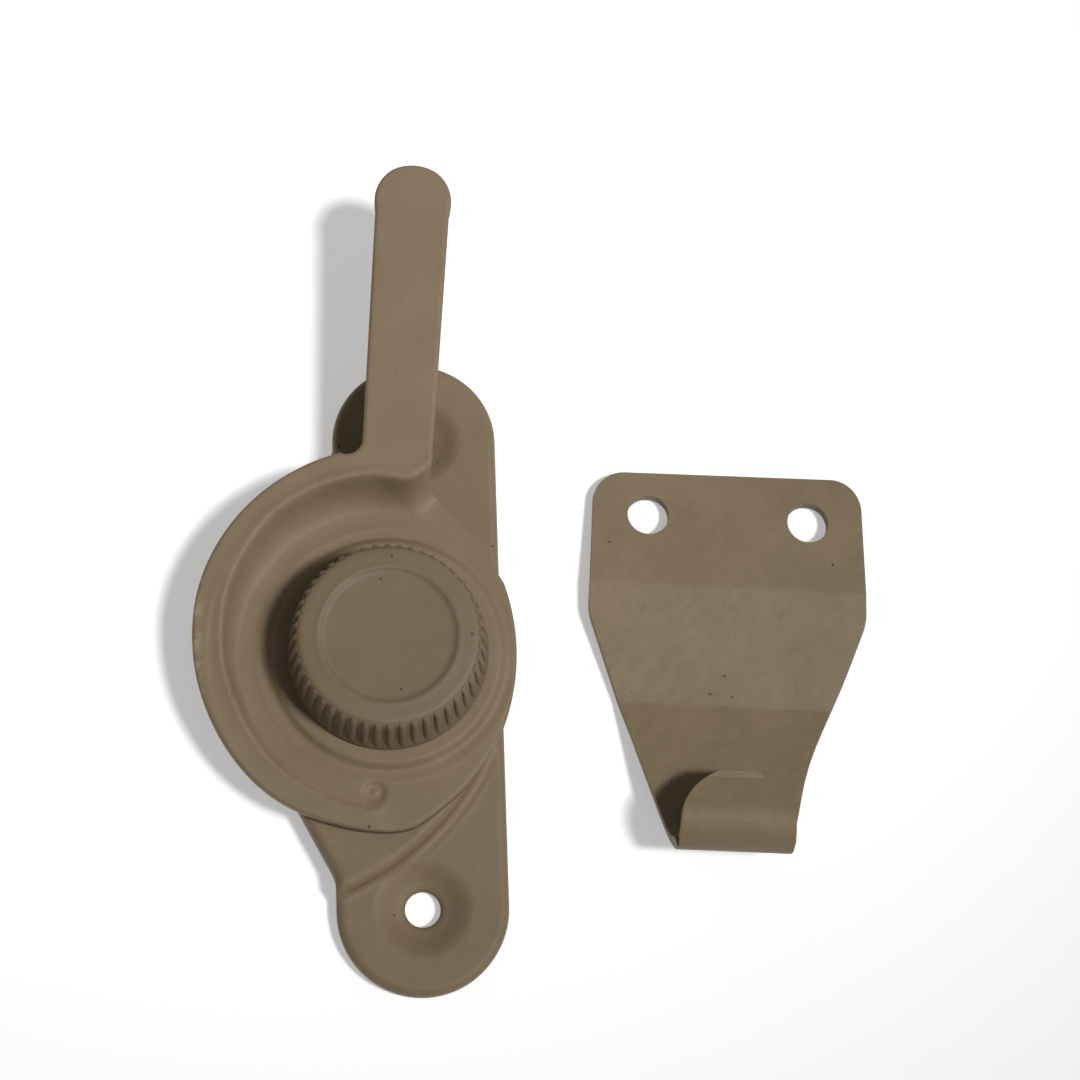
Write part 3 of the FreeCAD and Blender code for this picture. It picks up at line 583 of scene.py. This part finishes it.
# %% [markdown]
# The third step makes the triangles. A plain grid would cut the edges into steps. Blender's Delaunay
# function is used instead: it joins any set of points with well-shaped triangles and keeps given loops as
# edges. Loops just inside the outline carry the rolled corner, and rings or rows of points follow the forms.
#
# A pressed sheet is then the same triangles twice, at the height of its top and of its underside, with a
# short wall round its edge and in its holes, so the shell is closed and its faces point outwards.

# %% Inside a loop and near it


def inside(loop, points):
    # counts the crossings of each point's ray with the loop
    a, b = loop, np.roll(loop, -1, axis=0)
    crossed = np.zeros(len(points), dtype=int)
    for (ax, ay), (bx, by) in zip(a, b):
        if ay == by:
            continue
        level = (points[:, 1] >= min(ay, by)) & (points[:, 1] < max(ay, by))
        at = ax + (points[:, 1] - ay) * (bx - ax) / (by - ay)
        crossed += level & (at > points[:, 0])
    return crossed % 2 == 1


def distance_to(loop, points, far=4.0):
    # from each point to the nearest edge of the loop, worked out only where it is near
    a, b = loop, np.roll(loop, -1, axis=0)
    along = b - a
    result = np.full(len(points), far)
    for index, point in enumerate(points):
        offset = point - a
        if (np.abs(offset).sum(axis=1) > far + 2).all():
            continue
        share = np.clip((offset * along).sum(axis=1) / (along**2).sum(axis=1), 0, 1)
        result[index] = min(far, np.hypot(*(offset - along * share[:, None]).T).min())
    return result


print("the lever's tip is inside the outline:", bool(inside(outline, lever_point(np.array([60.0]), 0))[0]))

# %% Triangles in the plane
SAME_POINT = 1e-5


def triangulated(outer, holes, distances, places, clear):
    # loops at the given distances inside the outer one, and free places that stay clear of it
    loops = [outer] + [inward(outer, distance) for distance in distances] + holes
    places = places[inside(inward(outer, clear), places)]
    points = np.concatenate([*loops, places])
    edges, first = [], 0
    for loop in loops:
        edges += [(first + i, first + (i + 1) % len(loop)) for i in range(len(loop))]
        first += len(loop)
    made = delaunay_2d_cdt([Vector(p) for p in points.tolist()], edges, [], 0, SAME_POINT)
    flat = np.array([tuple(p) for p in made[0]])
    centres = np.array([flat[list(face)].mean(axis=0) for face in made[2]])
    keep = inside(outer, centres)
    for hole in holes:
        keep &= ~inside(hole, centres)
    return flat, [face for face, wanted in zip(made[2], keep) if wanted]


def rings_about(centre, spans):
    # each span is the first and last radius, the step between rings and the spacing along them
    rings = []
    for low, high, step, spacing in spans:
        for radius in np.arange(low, high, step):
            count = max(8, round(2 * math.pi * radius / spacing))
            staggered = np.arange(count) + 0.5 * (round(radius / step) % 2)
            rings.append(centre + polar(radius, staggered * 360 / count))
    return np.concatenate(rings)


def circle(centre, radius, count):
    return centre + polar(radius, np.arange(count) * (360 / count))


one_ring = rings_about(np.zeros(2), [(5, 5.5, 1, 1)])
print("a ring of radius 5 mm with points 1 mm apart has", len(one_ring), "points")

# %% Sheets with two sides and the pieces made of them
BODY_OF = {node: body for body, nodes in frame["record"]["behaviour"]["bodies"].items() for node in nodes}


def two_sided(flat, faces, top, under):
    count = len(flat)
    points = np.concatenate([np.column_stack([flat, top]), np.column_stack([flat, under])])
    shell = [tuple(face) for face in faces] + [tuple(count + v for v in reversed(face)) for face in faces]
    directed = {(a, b) for face in faces for a, b in zip(face, face[1:] + face[:1])}
    shell += [(b, a, a + count, b + count) for a, b in directed if (b, a) not in directed]
    return points, shell


def rolled(edge, radius):
    # how far a corner of this radius falls at a distance from the edge
    near = radius - np.clip(edge, 0, radius)
    return radius - np.sqrt(np.maximum(radius**2 - near**2, 0))


def dress(name, node, mesh):
    # a piece that stands for a node, hides it and moves with its body
    piece = bpy.data.objects.new(name, mesh)
    scene.collection.objects.link(piece)
    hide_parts(node)
    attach(piece, BODY_OF[node])
    return piece


def smooth_mesh(name, points, faces, finish):
    mesh = bpy.data.meshes.new(name)
    mesh.from_pydata([tuple(point) for point in np.asarray(points) * MM], [], faces)
    mesh.validate()
    mesh.materials.append(finish)
    mesh.polygons.foreach_set("use_smooth", [True] * len(mesh.polygons))
    return mesh


print("bodies:", BODY_OF)

# %% [markdown]
# Now the cam's own places. Rings close together follow the boss and the wall, because their height changes
# fast from ring to ring, and the flat hub under the dial needs only a few. Rows go up the lever, and small
# rings mark the dent. The underside leans out with the wall, so that the sheet keeps its thickness there,
# as a drawn sheet does.

# %% Mesh of the cam and lever
CAM_BORE = 4.05
CAM_ROLL = 0.45
CAM_LOOPS = [0.03, 0.1, 0.2, 0.32, 0.45, 0.7]
CAM_CLEAR = 0.95
CAM_RINGS = [(5.0, 12.9, 1.3, 1.6), (12.9, 16.8, 0.2, 0.7), (16.8, 26, 0.26, 0.62)]
DENT_RINGS, DENT_CLEAR = [(0.2, 2.1, 0.2, 0.3)], 2.2
LEVER_ROWS, LEVER_COLUMNS = np.arange(26.2, LEVER_REACH, 0.9), np.arange(-4.4, 4.41, 0.55)
UNDER_LEAN = 0.92
LEAST_SHEET = 0.6


def cam_places():
    rings = rings_about(np.zeros(2), CAM_RINGS)
    apart = np.hypot(*(rings - DENT).T) > DENT_CLEAR
    along, left = np.meshgrid(LEVER_ROWS, LEVER_COLUMNS, indexing="ij")
    rows = lever_point(along.ravel(), 0) + polar(left.ravel(), LEVER_ANGLE + 90)
    return np.concatenate([rings[apart], rows, rings_about(DENT, DENT_RINGS), DENT[None]])


def cam_mesh():
    bore = circle(np.zeros(2), CAM_BORE, 64)
    flat, faces = triangulated(outline, [bore], CAM_LOOPS, cam_places(), CAM_CLEAR)
    x, y = flat.T
    top = sheet_top(x, y) + boss_and_dent(x, y) - rolled(distance_to(outline, flat), CAM_ROLL)
    under = np.minimum(sheet_top(x, y, UNDER_LEAN) - CAM_SHEET, top - LEAST_SHEET)
    return smooth_mesh("cam_and_lever", *two_sided(flat, faces, top, under), bronze)


cam_piece = dress("cam_and_lever", "cam_lever", cam_mesh())
print("cam and lever:", len(cam_piece.data.polygons), "faces")

# %% [markdown]
# The base is pressed too: a tray with round ends, a raised platform with arched edges that carries the cam,
# and a soft dish round each screw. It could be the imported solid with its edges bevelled, but the dishes and
# the platform's brow and foot run into each other without an edge. So it is made like the cam, from an
# outline, a height and triangles.
#
# Each end of the outline goes from the flank of the round wing, over a soft corner, round the lobe. The
# platform's edges are two arcs of the same radius. A place is on the platform where it lies inside both.

# %% Outline of the base plate
LOBE_RADIUS = round(BASE_RIGHT - SCREW_X - INSIDE_SOLID, 3)
LOBE_LEFT, LOBE_RIGHT = SCREW_X - LOBE_RADIUS, SCREW_X + LOBE_RADIUS
WING_RADIUS = -BASE_LEFT
WING_ANGLE = 28.0
WING_CORNER = 4.5
PLATFORM_ARC = 33.0
ARC_CENTRE_X, ARC_CENTRE_OFF = -17.8, 2.6
ARC_CENTRES = [np.array([ARC_CENTRE_X, BASE_MIDDLE_Y + off]) for off in (-ARC_CENTRE_OFF, ARC_CENTRE_OFF)]


def base_end(side, screw_y):
    # one end, from the flank of the wing round the lobe, drawn as the upper one and mirrored for the lower
    flank = math.radians(WING_ANGLE)
    reach = (WING_RADIUS * math.cos(flank) + LOBE_LEFT) / math.sin(flank)
    touch = np.array([-WING_RADIUS * math.cos(flank), WING_RADIUS * math.sin(flank)])
    corner = np.array([LOBE_LEFT, touch[1] + reach * math.cos(flank)])
    setback = WING_CORNER * math.tan(flank / 2)
    before = corner + (touch - corner) / np.hypot(*(touch - corner)) * setback
    after = corner + np.array([0, setback])
    centre = after - np.array([WING_CORNER, 0])
    middle = centre + (corner - centre) / np.hypot(*(corner - centre)) * WING_CORNER
    return np.concatenate([
        straight(touch, before, 0.8),
        arc_through(before, middle, after, 0.35),
        straight(after, np.array([LOBE_LEFT, screw_y]), 0.5),
        np.array([SCREW_X, screw_y]) + polar(LOBE_RADIUS, np.arange(180, 0, -3)),
    ]) * np.array([1, side])


def base_outline():
    upper, lower = base_end(1, UPPER_SCREW[1]), base_end(-1, -LOWER_SCREW[1])
    down = straight(np.array([LOBE_RIGHT, UPPER_SCREW[1]]), np.array([LOBE_RIGHT, LOWER_SCREW[1]]), 0.8)
    wing = polar(WING_RADIUS, np.arange(180 + WING_ANGLE, 180 - WING_ANGLE, -2.0))
    return np.concatenate([upper, down, lower[::-1], wing])[::-1]


def past_edge(flat):
    # how far a place lies inside the platform's arched edges
    return np.min([PLATFORM_ARC - np.hypot(*(flat - centre).T) for centre in ARC_CENTRES], axis=0)


base_loop = base_outline()
print("base outline:", len(base_loop), "points, lobes of radius", LOBE_RADIUS, "mm")

# %% [markdown]
# The platform's edge rises almost upright over a fraction of a millimetre, so its triangles have to follow
# it, or the light shows their pattern. Rows of points run along the edge, closer where it is steeper, and
# every second row is shifted by half a spacing, which makes all triangles between two rows alike.

# %% Places on the base plate
STUD_BORE = 4.0
HOLE_COUNT, HOLE_CLEAR = 48, 0.15
DISH_RINGS = [(2.5, 7.4, 0.3, 0.5), (7.8, 11, 0.8, 1.0)]
STEEP_ROWS = [-0.2, -0.12, -0.06, -0.02, 0.02, 0.06, 0.12]
EDGE_ROWS = [*np.arange(-2.4, -0.3, 0.15), *STEEP_ROWS, *np.arange(0.2, 1.8, 0.15)]
ROW_ANGLES = np.arange(15, 110, 0.7)
HALF_SPACING = 0.35
ROW_END = 0.6
GRID_COLUMNS, GRID_LINES = np.arange(-18, 14.4, 1.1), np.arange(-26, 26, 1.1)
GRID_OFF_BORE = 0.6
SLOPE_MIDDLE, SLOPE_HALF = -0.35, 2.3


def edge_rows():
    # each arc's rows are on the half of the base where that arc is the nearer edge
    rows = []
    for centre, side in zip(ARC_CENTRES, (1, -1)):
        for row, past in enumerate(EDGE_ROWS):
            angles = ROW_ANGLES + HALF_SPACING * (row % 2)
            arc = centre + polar(PLATFORM_ARC - past, angles * side)
            rows.append(arc[(arc[:, 1] - BASE_MIDDLE_Y) * side > ROW_END])
    return rows


def places_on_base():
    grid = np.stack(np.meshgrid(GRID_COLUMNS, GRID_LINES), axis=-1).reshape(-1, 2)
    on_slope = np.abs(past_edge(grid) - SLOPE_MIDDLE) < SLOPE_HALF
    off_bore = np.hypot(*grid.T) > STUD_BORE + GRID_OFF_BORE
    dishes = [rings_about(screw, DISH_RINGS) for screw in SCREWS]
    places = np.concatenate([*dishes, *edge_rows(), grid[off_bore & ~on_slope]])
    off_screws = [np.hypot(*(places - screw).T) > HOLE_RADIUS + HOLE_CLEAR for screw in SCREWS]
    return places[np.all(off_screws, axis=0)]


base_places = places_on_base()
print("base:", len(base_places), "places, before those outside the outline are left out")

# %% Mesh of the base plate
BASE_SHEET = 1.5
TRAY_TOP = 3.0
PLATFORM_RISE = round(PLATFORM_TOP - TRAY_TOP, 3)
SLOPE_FOOT = 0.9
BROW_ROUND = PLATFORM_RISE - SLOPE_FOOT
TRAY_ROLL, PLATFORM_ROLL = 1.05, 1.2
CREASE, CREASE_AT, CREASE_WIDTH = 0.06, -1.5, 0.3
CREASE_FROM_X, CREASE_OFF_EDGE = (3, 6), (0.5, 2)
DISH_DEPTH, DISH_EDGE = 1.45, (2.4, 6.2)
SEAT_DEPTH, SEAT_EDGE = 0.3, (2.2, 2.75)
BASE_LOOPS = [0.03, 0.1, 0.25, 0.5, 0.8, 1.05, 1.3, 1.45, 1.6]
BASE_CLEAR = 1.85


def base_heights(flat):
    edge = distance_to(base_loop, flat)
    past = past_edge(flat)
    # the slope is two quarter circles: a hollow one at its foot and a round one at its brow
    up_foot = np.clip(past + SLOPE_FOOT, 0, SLOPE_FOOT)
    foot = SLOPE_FOOT - np.sqrt(np.maximum(SLOPE_FOOT**2 - up_foot**2, 0))
    to_flat = BROW_ROUND - np.clip(past, 0, BROW_ROUND)
    brow = np.sqrt(np.maximum(BROW_ROUND**2 - to_flat**2, 0))
    height = TRAY_TOP + np.where(past < 0, foot, SLOPE_FOOT + brow)
    height -= rolled(edge, np.where(past > 0, PLATFORM_ROLL, TRAY_ROLL))
    # a fine crease beside the slope, at its right end only
    crease = CREASE * ridge_at(past, CREASE_AT, CREASE_WIDTH)
    height += crease * step_up(flat[:, 0], *CREASE_FROM_X) * step_up(edge, *CREASE_OFF_EDGE)
    for screw in SCREWS:
        away = np.hypot(*(flat - screw).T)
        dish = DISH_DEPTH * (1 - step_up(away, *DISH_EDGE))
        height -= dish + SEAT_DEPTH * (1 - step_up(away, *SEAT_EDGE))
    under = np.where(edge < BASE_SHEET, 0.0, np.maximum(height - BASE_SHEET, 0.0))
    return height, under


def base_mesh():
    holes = [circle(screw, HOLE_RADIUS, HOLE_COUNT) for screw in SCREWS]
    holes.append(circle(np.zeros(2), STUD_BORE, HOLE_COUNT))
    flat, faces = triangulated(base_loop, holes, BASE_LOOPS, base_places, BASE_CLEAR)
    return smooth_mesh("pressed_base", *two_sided(flat, faces, *base_heights(flat)), bronze)


base_piece = dress("pressed_base", "base_plate", base_mesh())
print("base:", len(base_piece.data.polygons), "faces")

# %% [markdown]
# The dial is a cast button with straight ribs round its leaning side. The button is round, so it is a
# profile turned about the pivot. The Screw modifier could do that, and the short function here does the
# same and closes the poles. The profile starts at the middle of the recessed top, goes over the raised ring
# and down the side, and comes back under the foot into the hollow that hides the washers.

# %% Button of the dial
SIDE_FOOT, SIDE_TOP = 11.95, 10.95
AROUND = 144
DIAL_PROFILE = [
    (0.0, DIAL_TOP - 0.34), (4.0, DIAL_TOP - 0.35), (7.3, DIAL_TOP - 0.35), (7.7, DIAL_TOP - 0.33),
    (7.95, DIAL_TOP - 0.24), (8.15, DIAL_TOP - 0.08), (8.35, DIAL_TOP - 0.01), (8.55, DIAL_TOP),
    (8.8, DIAL_TOP - 0.04), (9.05, DIAL_TOP - 0.07), (9.8, DIAL_TOP - 0.07), (10.3, DIAL_TOP - 0.09),
    (10.6, DIAL_TOP - 0.16), (10.82, DIAL_TOP - 0.3),
    (SIDE_TOP, DIAL_TOP - 0.5), (11.15, 15.9), (11.4, 13.8), (11.62, 12.2), (11.85, 11.1), (12.14, 10.3),
    (12.3, 9.8), (12.33, DIAL_FOOT + 0.2), (12.26, DIAL_FOOT + 0.06), (12.1, DIAL_FOOT), (9.75, DIAL_FOOT),
    (9.6, DIAL_FOOT + 0.15), (9.6, 11.15), (3.05, 11.15), (3.05, 15.9), (0.0, 15.9),
]


def lathed(profile, around):
    rings, points, faces = [], [], []
    for radius, height in profile:
        if radius == 0:
            rings.append([len(points)] * around)
            points.append((0.0, 0.0, height))
            continue
        rings.append([len(points) + i for i in range(around)])
        points += [(*place, height) for place in polar(radius, np.arange(around) * 360 / around)]
    for upper, lower in zip(rings, rings[1:]):
        for i in range(around):
            j = (i + 1) % around
            # at a pole two corners are the same point, which is left out
            corners = dict.fromkeys([upper[i], lower[i], lower[j], upper[j]])
            faces.append(tuple(corners))
    return points, faces


dial_points, dial_faces = lathed(DIAL_PROFILE, AROUND)
print("dial's button:", len(dial_faces), "faces")

# %% [markdown]
# The real ribs are all alike, so one is drawn and Geometry Nodes set it round the pivot as often as the
# dial has them. An Array modifier with a turned object would do it too, but the node group has the count as
# a named input. It puts a point for each rib on the axis, turns each by its share of a full circle, makes
# the copies real and gives them their finish. A rib is half round across, and its top is rounded off.

# %% One rib
RIB_HALF = 0.47
RIB_PROUD = 0.52
RIB_SUNK = 0.12
RIB_TOP = DIAL_TOP - 0.22
RIB_LEVELS = [0.0, 0.03, 0.2, 0.4, 0.6, 0.8, 0.87, 0.92, 0.96, 0.985, 1.0]
ROUNDED_FROM = 0.83
LEAST_PROUD = 0.02
RIB_FOOT_SHARE = 0.9
RIB_TAPER = 0.07
RIB_FLATNESS = 0.8
RIB_ACROSS = np.radians(np.linspace(-90, 90, 11))


def rib_row(level):
    # the points across a rib at a level from 0 at its foot to 1 at its top
    height = DIAL_FOOT + level * (RIB_TOP - DIAL_FOOT)
    side = SIDE_FOOT + level * (SIDE_TOP - SIDE_FOOT)
    into_round = max((level - ROUNDED_FROM) / (1 - ROUNDED_FROM), 0)
    fade = math.sqrt(max(1 - into_round**2, LEAST_PROUD))
    proud = RIB_PROUD * fade * (RIB_FOOT_SHARE if level == 0 else 1)
    half = RIB_HALF * (0.94 + 0.06 * fade) * (1 - RIB_TAPER * level)
    row = []
    for angle in RIB_ACROSS:
        out = side - RIB_SUNK + proud * math.cos(angle) ** RIB_FLATNESS
        row.append((out * MM, half * math.sin(angle) * MM, height * MM))
    return row


def rib_mesh():
    points = [point for level in RIB_LEVELS for point in rib_row(level)]
    wide, high = len(RIB_ACROSS), len(RIB_LEVELS)
    faces = []
    for row in range(high - 1):
        for i in range(wide - 1):
            a = row * wide + i
            faces.append((a, a + 1, a + wide + 1, a + wide))
    faces.append(tuple(reversed(range(wide))))
    faces.append(tuple(range((high - 1) * wide, high * wide)))
    mesh = bpy.data.meshes.new("rib")
    mesh.from_pydata(points, [], faces)
    return mesh


rib_shape = rib_mesh()
print("one rib:", len(rib_shape.polygons), "faces")

# %% Ring of ribs
RIB_COUNT = 48


def socket(group, name, kind):
    return group.interface.new_socket(name=name, in_out="INPUT", socket_type=kind).identifier


def ring_of_ribs():
    group = bpy.data.node_groups.new("ring_of_ribs", "GeometryNodeTree")
    names = {
        "rib": socket(group, "Rib", "NodeSocketObject"),
        "count": socket(group, "Count", "NodeSocketInt"),
        "finish": socket(group, "Finish", "NodeSocketMaterial"),
    }
    group.interface.new_socket(name="Ribs", in_out="OUTPUT", socket_type="NodeSocketGeometry")
    inputs = add(group, "NodeGroupInput").outputs
    places = add(group, "GeometryNodeMeshLine", Count=inputs["Count"], Offset=(0, 0, 0))
    index = add(group, "GeometryNodeInputIndex").outputs[0]
    pitch = add(group, "ShaderNodeMath", {"operation": "DIVIDE"}, _0=2 * math.pi, _1=inputs["Count"])
    turn = add(group, "ShaderNodeMath", {"operation": "MULTIPLY"}, _0=index, _1=pitch.outputs[0])
    angles = add(group, "ShaderNodeCombineXYZ", Z=turn.outputs[0])
    rib = add(group, "GeometryNodeObjectInfo", Object=inputs["Rib"])
    ring = add(
        group, "GeometryNodeInstanceOnPoints",
        Points=places.outputs[0], Instance=rib.outputs["Geometry"], Rotation=angles.outputs[0],
    )
    real = add(group, "GeometryNodeRealizeInstances", Geometry=ring.outputs[0])
    dressed = add(group, "GeometryNodeSetMaterial", Geometry=real.outputs[0], Material=inputs["Finish"])
    output = group.nodes.new("NodeGroupOutput")
    group.links.new(dressed.outputs[0], output.inputs[0])
    return group, names


def as_plain_mesh(holder):
    # what an object's modifiers make of it, after which the object itself is removed
    graph = bpy.context.evaluated_depsgraph_get()
    made = bpy.data.meshes.new_from_object(holder.evaluated_get(graph))
    bpy.data.objects.remove(holder)
    return made


def ribs_mesh(count):
    rib = bpy.data.objects.new("rib", rib_shape)
    holder = bpy.data.objects.new("ribs", bpy.data.meshes.new("ribs"))
    for item in (rib, holder):
        scene.collection.objects.link(item)
    group, names = ring_of_ribs()
    modifier = holder.modifiers.new("ring", "NODES")
    modifier.node_group = group
    modifier[names["rib"]] = rib
    modifier[names["count"]] = count
    modifier[names["finish"]] = shaded_dial_bronze
    made = as_plain_mesh(holder)
    bpy.data.objects.remove(rib)
    return made


ribs = ribs_mesh(RIB_COUNT)
print("ring of", RIB_COUNT, "ribs:", len(ribs.polygons), "faces")

# %% Dial with its ribs


def joined(*meshes):
    shape = bmesh.new()
    for mesh in meshes:
        shape.from_mesh(mesh)
    whole = bpy.data.meshes.new("joined")
    shape.to_mesh(whole)
    shape.free()
    return whole


button = smooth_mesh("knurled_dial", dial_points, dial_faces, shaded_dial_bronze)
dial_mesh = joined(button, ribs)
dial_mesh.materials.clear()
dial_mesh.materials.append(shaded_dial_bronze)
for polygon in dial_mesh.polygons:
    polygon.use_smooth = True
    polygon.material_index = 0
dial_piece = dress("knurled_dial", "lock_dial", dial_mesh)
print("dial with ribs:", len(dial_piece.data.polygons), "faces")

# %% [markdown]
# The keeper is cut from flat sheet and bent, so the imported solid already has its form, and only its edges
# are too sharp. A copy is merged, because the solid's mesh is loose triangles. A Bevel modifier breaks the
# edges softly, as tumbling does to a pressing, and Weighted Normal keeps the plain faces between them flat
# to the light.
#
# Bending pulled the sheet a little out of shape. The right side is slightly hollow above the hook, the hook
# reaches down a shade further with a shorter tab, and the top edge leans a little. Moving vertices does
# this, and some cuts across the sheet first give its long sides vertices that can move.

# %% Keeper with broken edges
KEEPER_CUTS = [-1, -4, -7, -10, -12, -14, -16, -18, -20]
EDGE_BREAK, EDGE_SEGMENTS = 0.4, 3
SHARP_OVER, FLAT_UNDER = math.radians(35), math.radians(0.6)
MERGED_UNDER = 0.01


def softened(node, name):
    shape = bmesh.new()
    shape.from_mesh(frame["nodes"][node].data)
    bmesh.ops.remove_doubles(shape, verts=shape.verts, dist=MERGED_UNDER * MM)
    bmesh.ops.dissolve_limit(shape, angle_limit=FLAT_UNDER, verts=shape.verts, edges=shape.edges)
    for y in KEEPER_CUTS:
        everything = [*shape.verts, *shape.edges, *shape.faces]
        bmesh.ops.bisect_plane(shape, geom=everything, plane_co=(0, y * MM, 0), plane_no=(0, 1, 0))
    mesh = bpy.data.meshes.new(name)
    shape.to_mesh(mesh)
    shape.free()
    mesh.polygons.foreach_set("use_smooth", [True] * len(mesh.polygons))
    holder = bpy.data.objects.new(name, mesh)
    scene.collection.objects.link(holder)
    bevel = holder.modifiers.new("broken_edges", "BEVEL")
    bevel.width = EDGE_BREAK * MM
    bevel.segments = EDGE_SEGMENTS
    bevel.limit_method = "ANGLE"
    bevel.angle_limit = SHARP_OVER
    bevel.harden_normals = True
    holder.modifiers.new("flat_faces", "WEIGHTED_NORMAL").keep_sharp = True
    return as_plain_mesh(holder)


keeper_mesh = softened("keeper", "bent_keeper")
print("keeper:", len(keeper_mesh.polygons), "faces")

# %% Keeper as bent
TAB_ROOT_Y, TAB_TIP_Y, TAB_LOW_Z = -19.5, -14.6, 8.6
TAB_SHORTER = 0.7
WAIST_Y, WAIST_SPREAD, WAIST_DEPTH = -14.5, 6.5, 1.0
WAIST_FROM_X, WAIST_WIDE = 42, 8
FOOT_FROM_Y, FOOT_LONGER, FOOT_LONG = -10.0, 0.6, 10
TOP_FROM_Y, TOP_SKEW, TOP_LONG = 20.5, 0.02, 4
KEEPER_MIDDLE_X = 44.6


def from_0_to_1(value):
    return min(max(value, 0), 1)


for vertex in keeper_mesh.vertices:
    x, y, z = vertex.co / MM
    hollow = math.exp(-(((y - WAIST_Y) / WAIST_SPREAD) ** 2))
    vertex.co.x -= WAIST_DEPTH * from_0_to_1((x - WAIST_FROM_X) / WAIST_WIDE) * hollow * MM
    vertex.co.y -= FOOT_LONGER * from_0_to_1((FOOT_FROM_Y - y) / FOOT_LONG) * MM
    vertex.co.y += TOP_SKEW * (x - KEEPER_MIDDLE_X) * from_0_to_1((y - TOP_FROM_Y) / TOP_LONG) * MM
    if z > TAB_LOW_Z and TAB_ROOT_Y < y < 0:
        vertex.co.y -= TAB_SHORTER * from_0_to_1((y - TAB_ROOT_Y) / (TAB_TIP_Y - TAB_ROOT_Y)) * MM
keeper_mesh.materials.clear()
keeper_mesh.materials.append(lit_keeper_bronze)
keeper_piece = dress("bent_keeper", "keeper", keeper_mesh)
lowest = min(vertex.co.y for vertex in keeper_piece.data.vertices)
print("the hook's lowest point as seen from above is at y", round(lowest / MM, 2), "mm")

# %% [markdown]
# The floor is a plain pale sheet just under the parts. A white emission seen only by the camera and by
# mirror-like rays is added to it, so that it looks white and still keeps the object's shadow, while it
# throws no more light on the parts than a pale sheet does.

# %% Floor
FLOOR_HALF = 2000 * MM
FLOOR_DROP = 0.2 * MM
FLOOR_GLOW = 0.36


def pale_floor():
    material, tree, shader, _ = new_material("pale_floor")
    shader.inputs["Base Color"].default_value = linear("#f4f4f4")
    shader.inputs["Roughness"].default_value = 0.8
    path = add(tree, "ShaderNodeLightPath")
    seen = add(
        tree, "ShaderNodeMath", {"operation": "MAXIMUM"},
        _0=path.outputs["Is Camera Ray"], _1=path.outputs["Is Glossy Ray"],
    )
    glow = add(tree, "ShaderNodeEmission", Color=(1, 1, 1, 1), Strength=FLOOR_GLOW)
    none = add(tree, "ShaderNodeEmission", Color=(0, 0, 0, 1), Strength=0.0)
    extra = add(tree, "ShaderNodeMixShader", _0=seen.outputs[0], _1=none.outputs[0], _2=glow.outputs[0])
    both = add(tree, "ShaderNodeAddShader", _0=shader.outputs[0], _1=extra.outputs[0])
    tree.links.new(both.outputs[0], tree.nodes["Material Output"].inputs["Surface"])
    return material


floor_mesh = bpy.data.meshes.new("floor")
floor_signs = [(-1, -1), (1, -1), (1, 1), (-1, 1)]
floor_corners = [(x * FLOOR_HALF, y * FLOOR_HALF, -FLOOR_DROP) for x, y in floor_signs]
floor_mesh.from_pydata(floor_corners, [], [(0, 1, 2, 3)])
floor_mesh.materials.append(pale_floor())
floor = bpy.data.objects.new("floor", floor_mesh)
scene.collection.objects.link(floor)
print("floor:", round(2 * FLOOR_HALF, 1), "m wide")
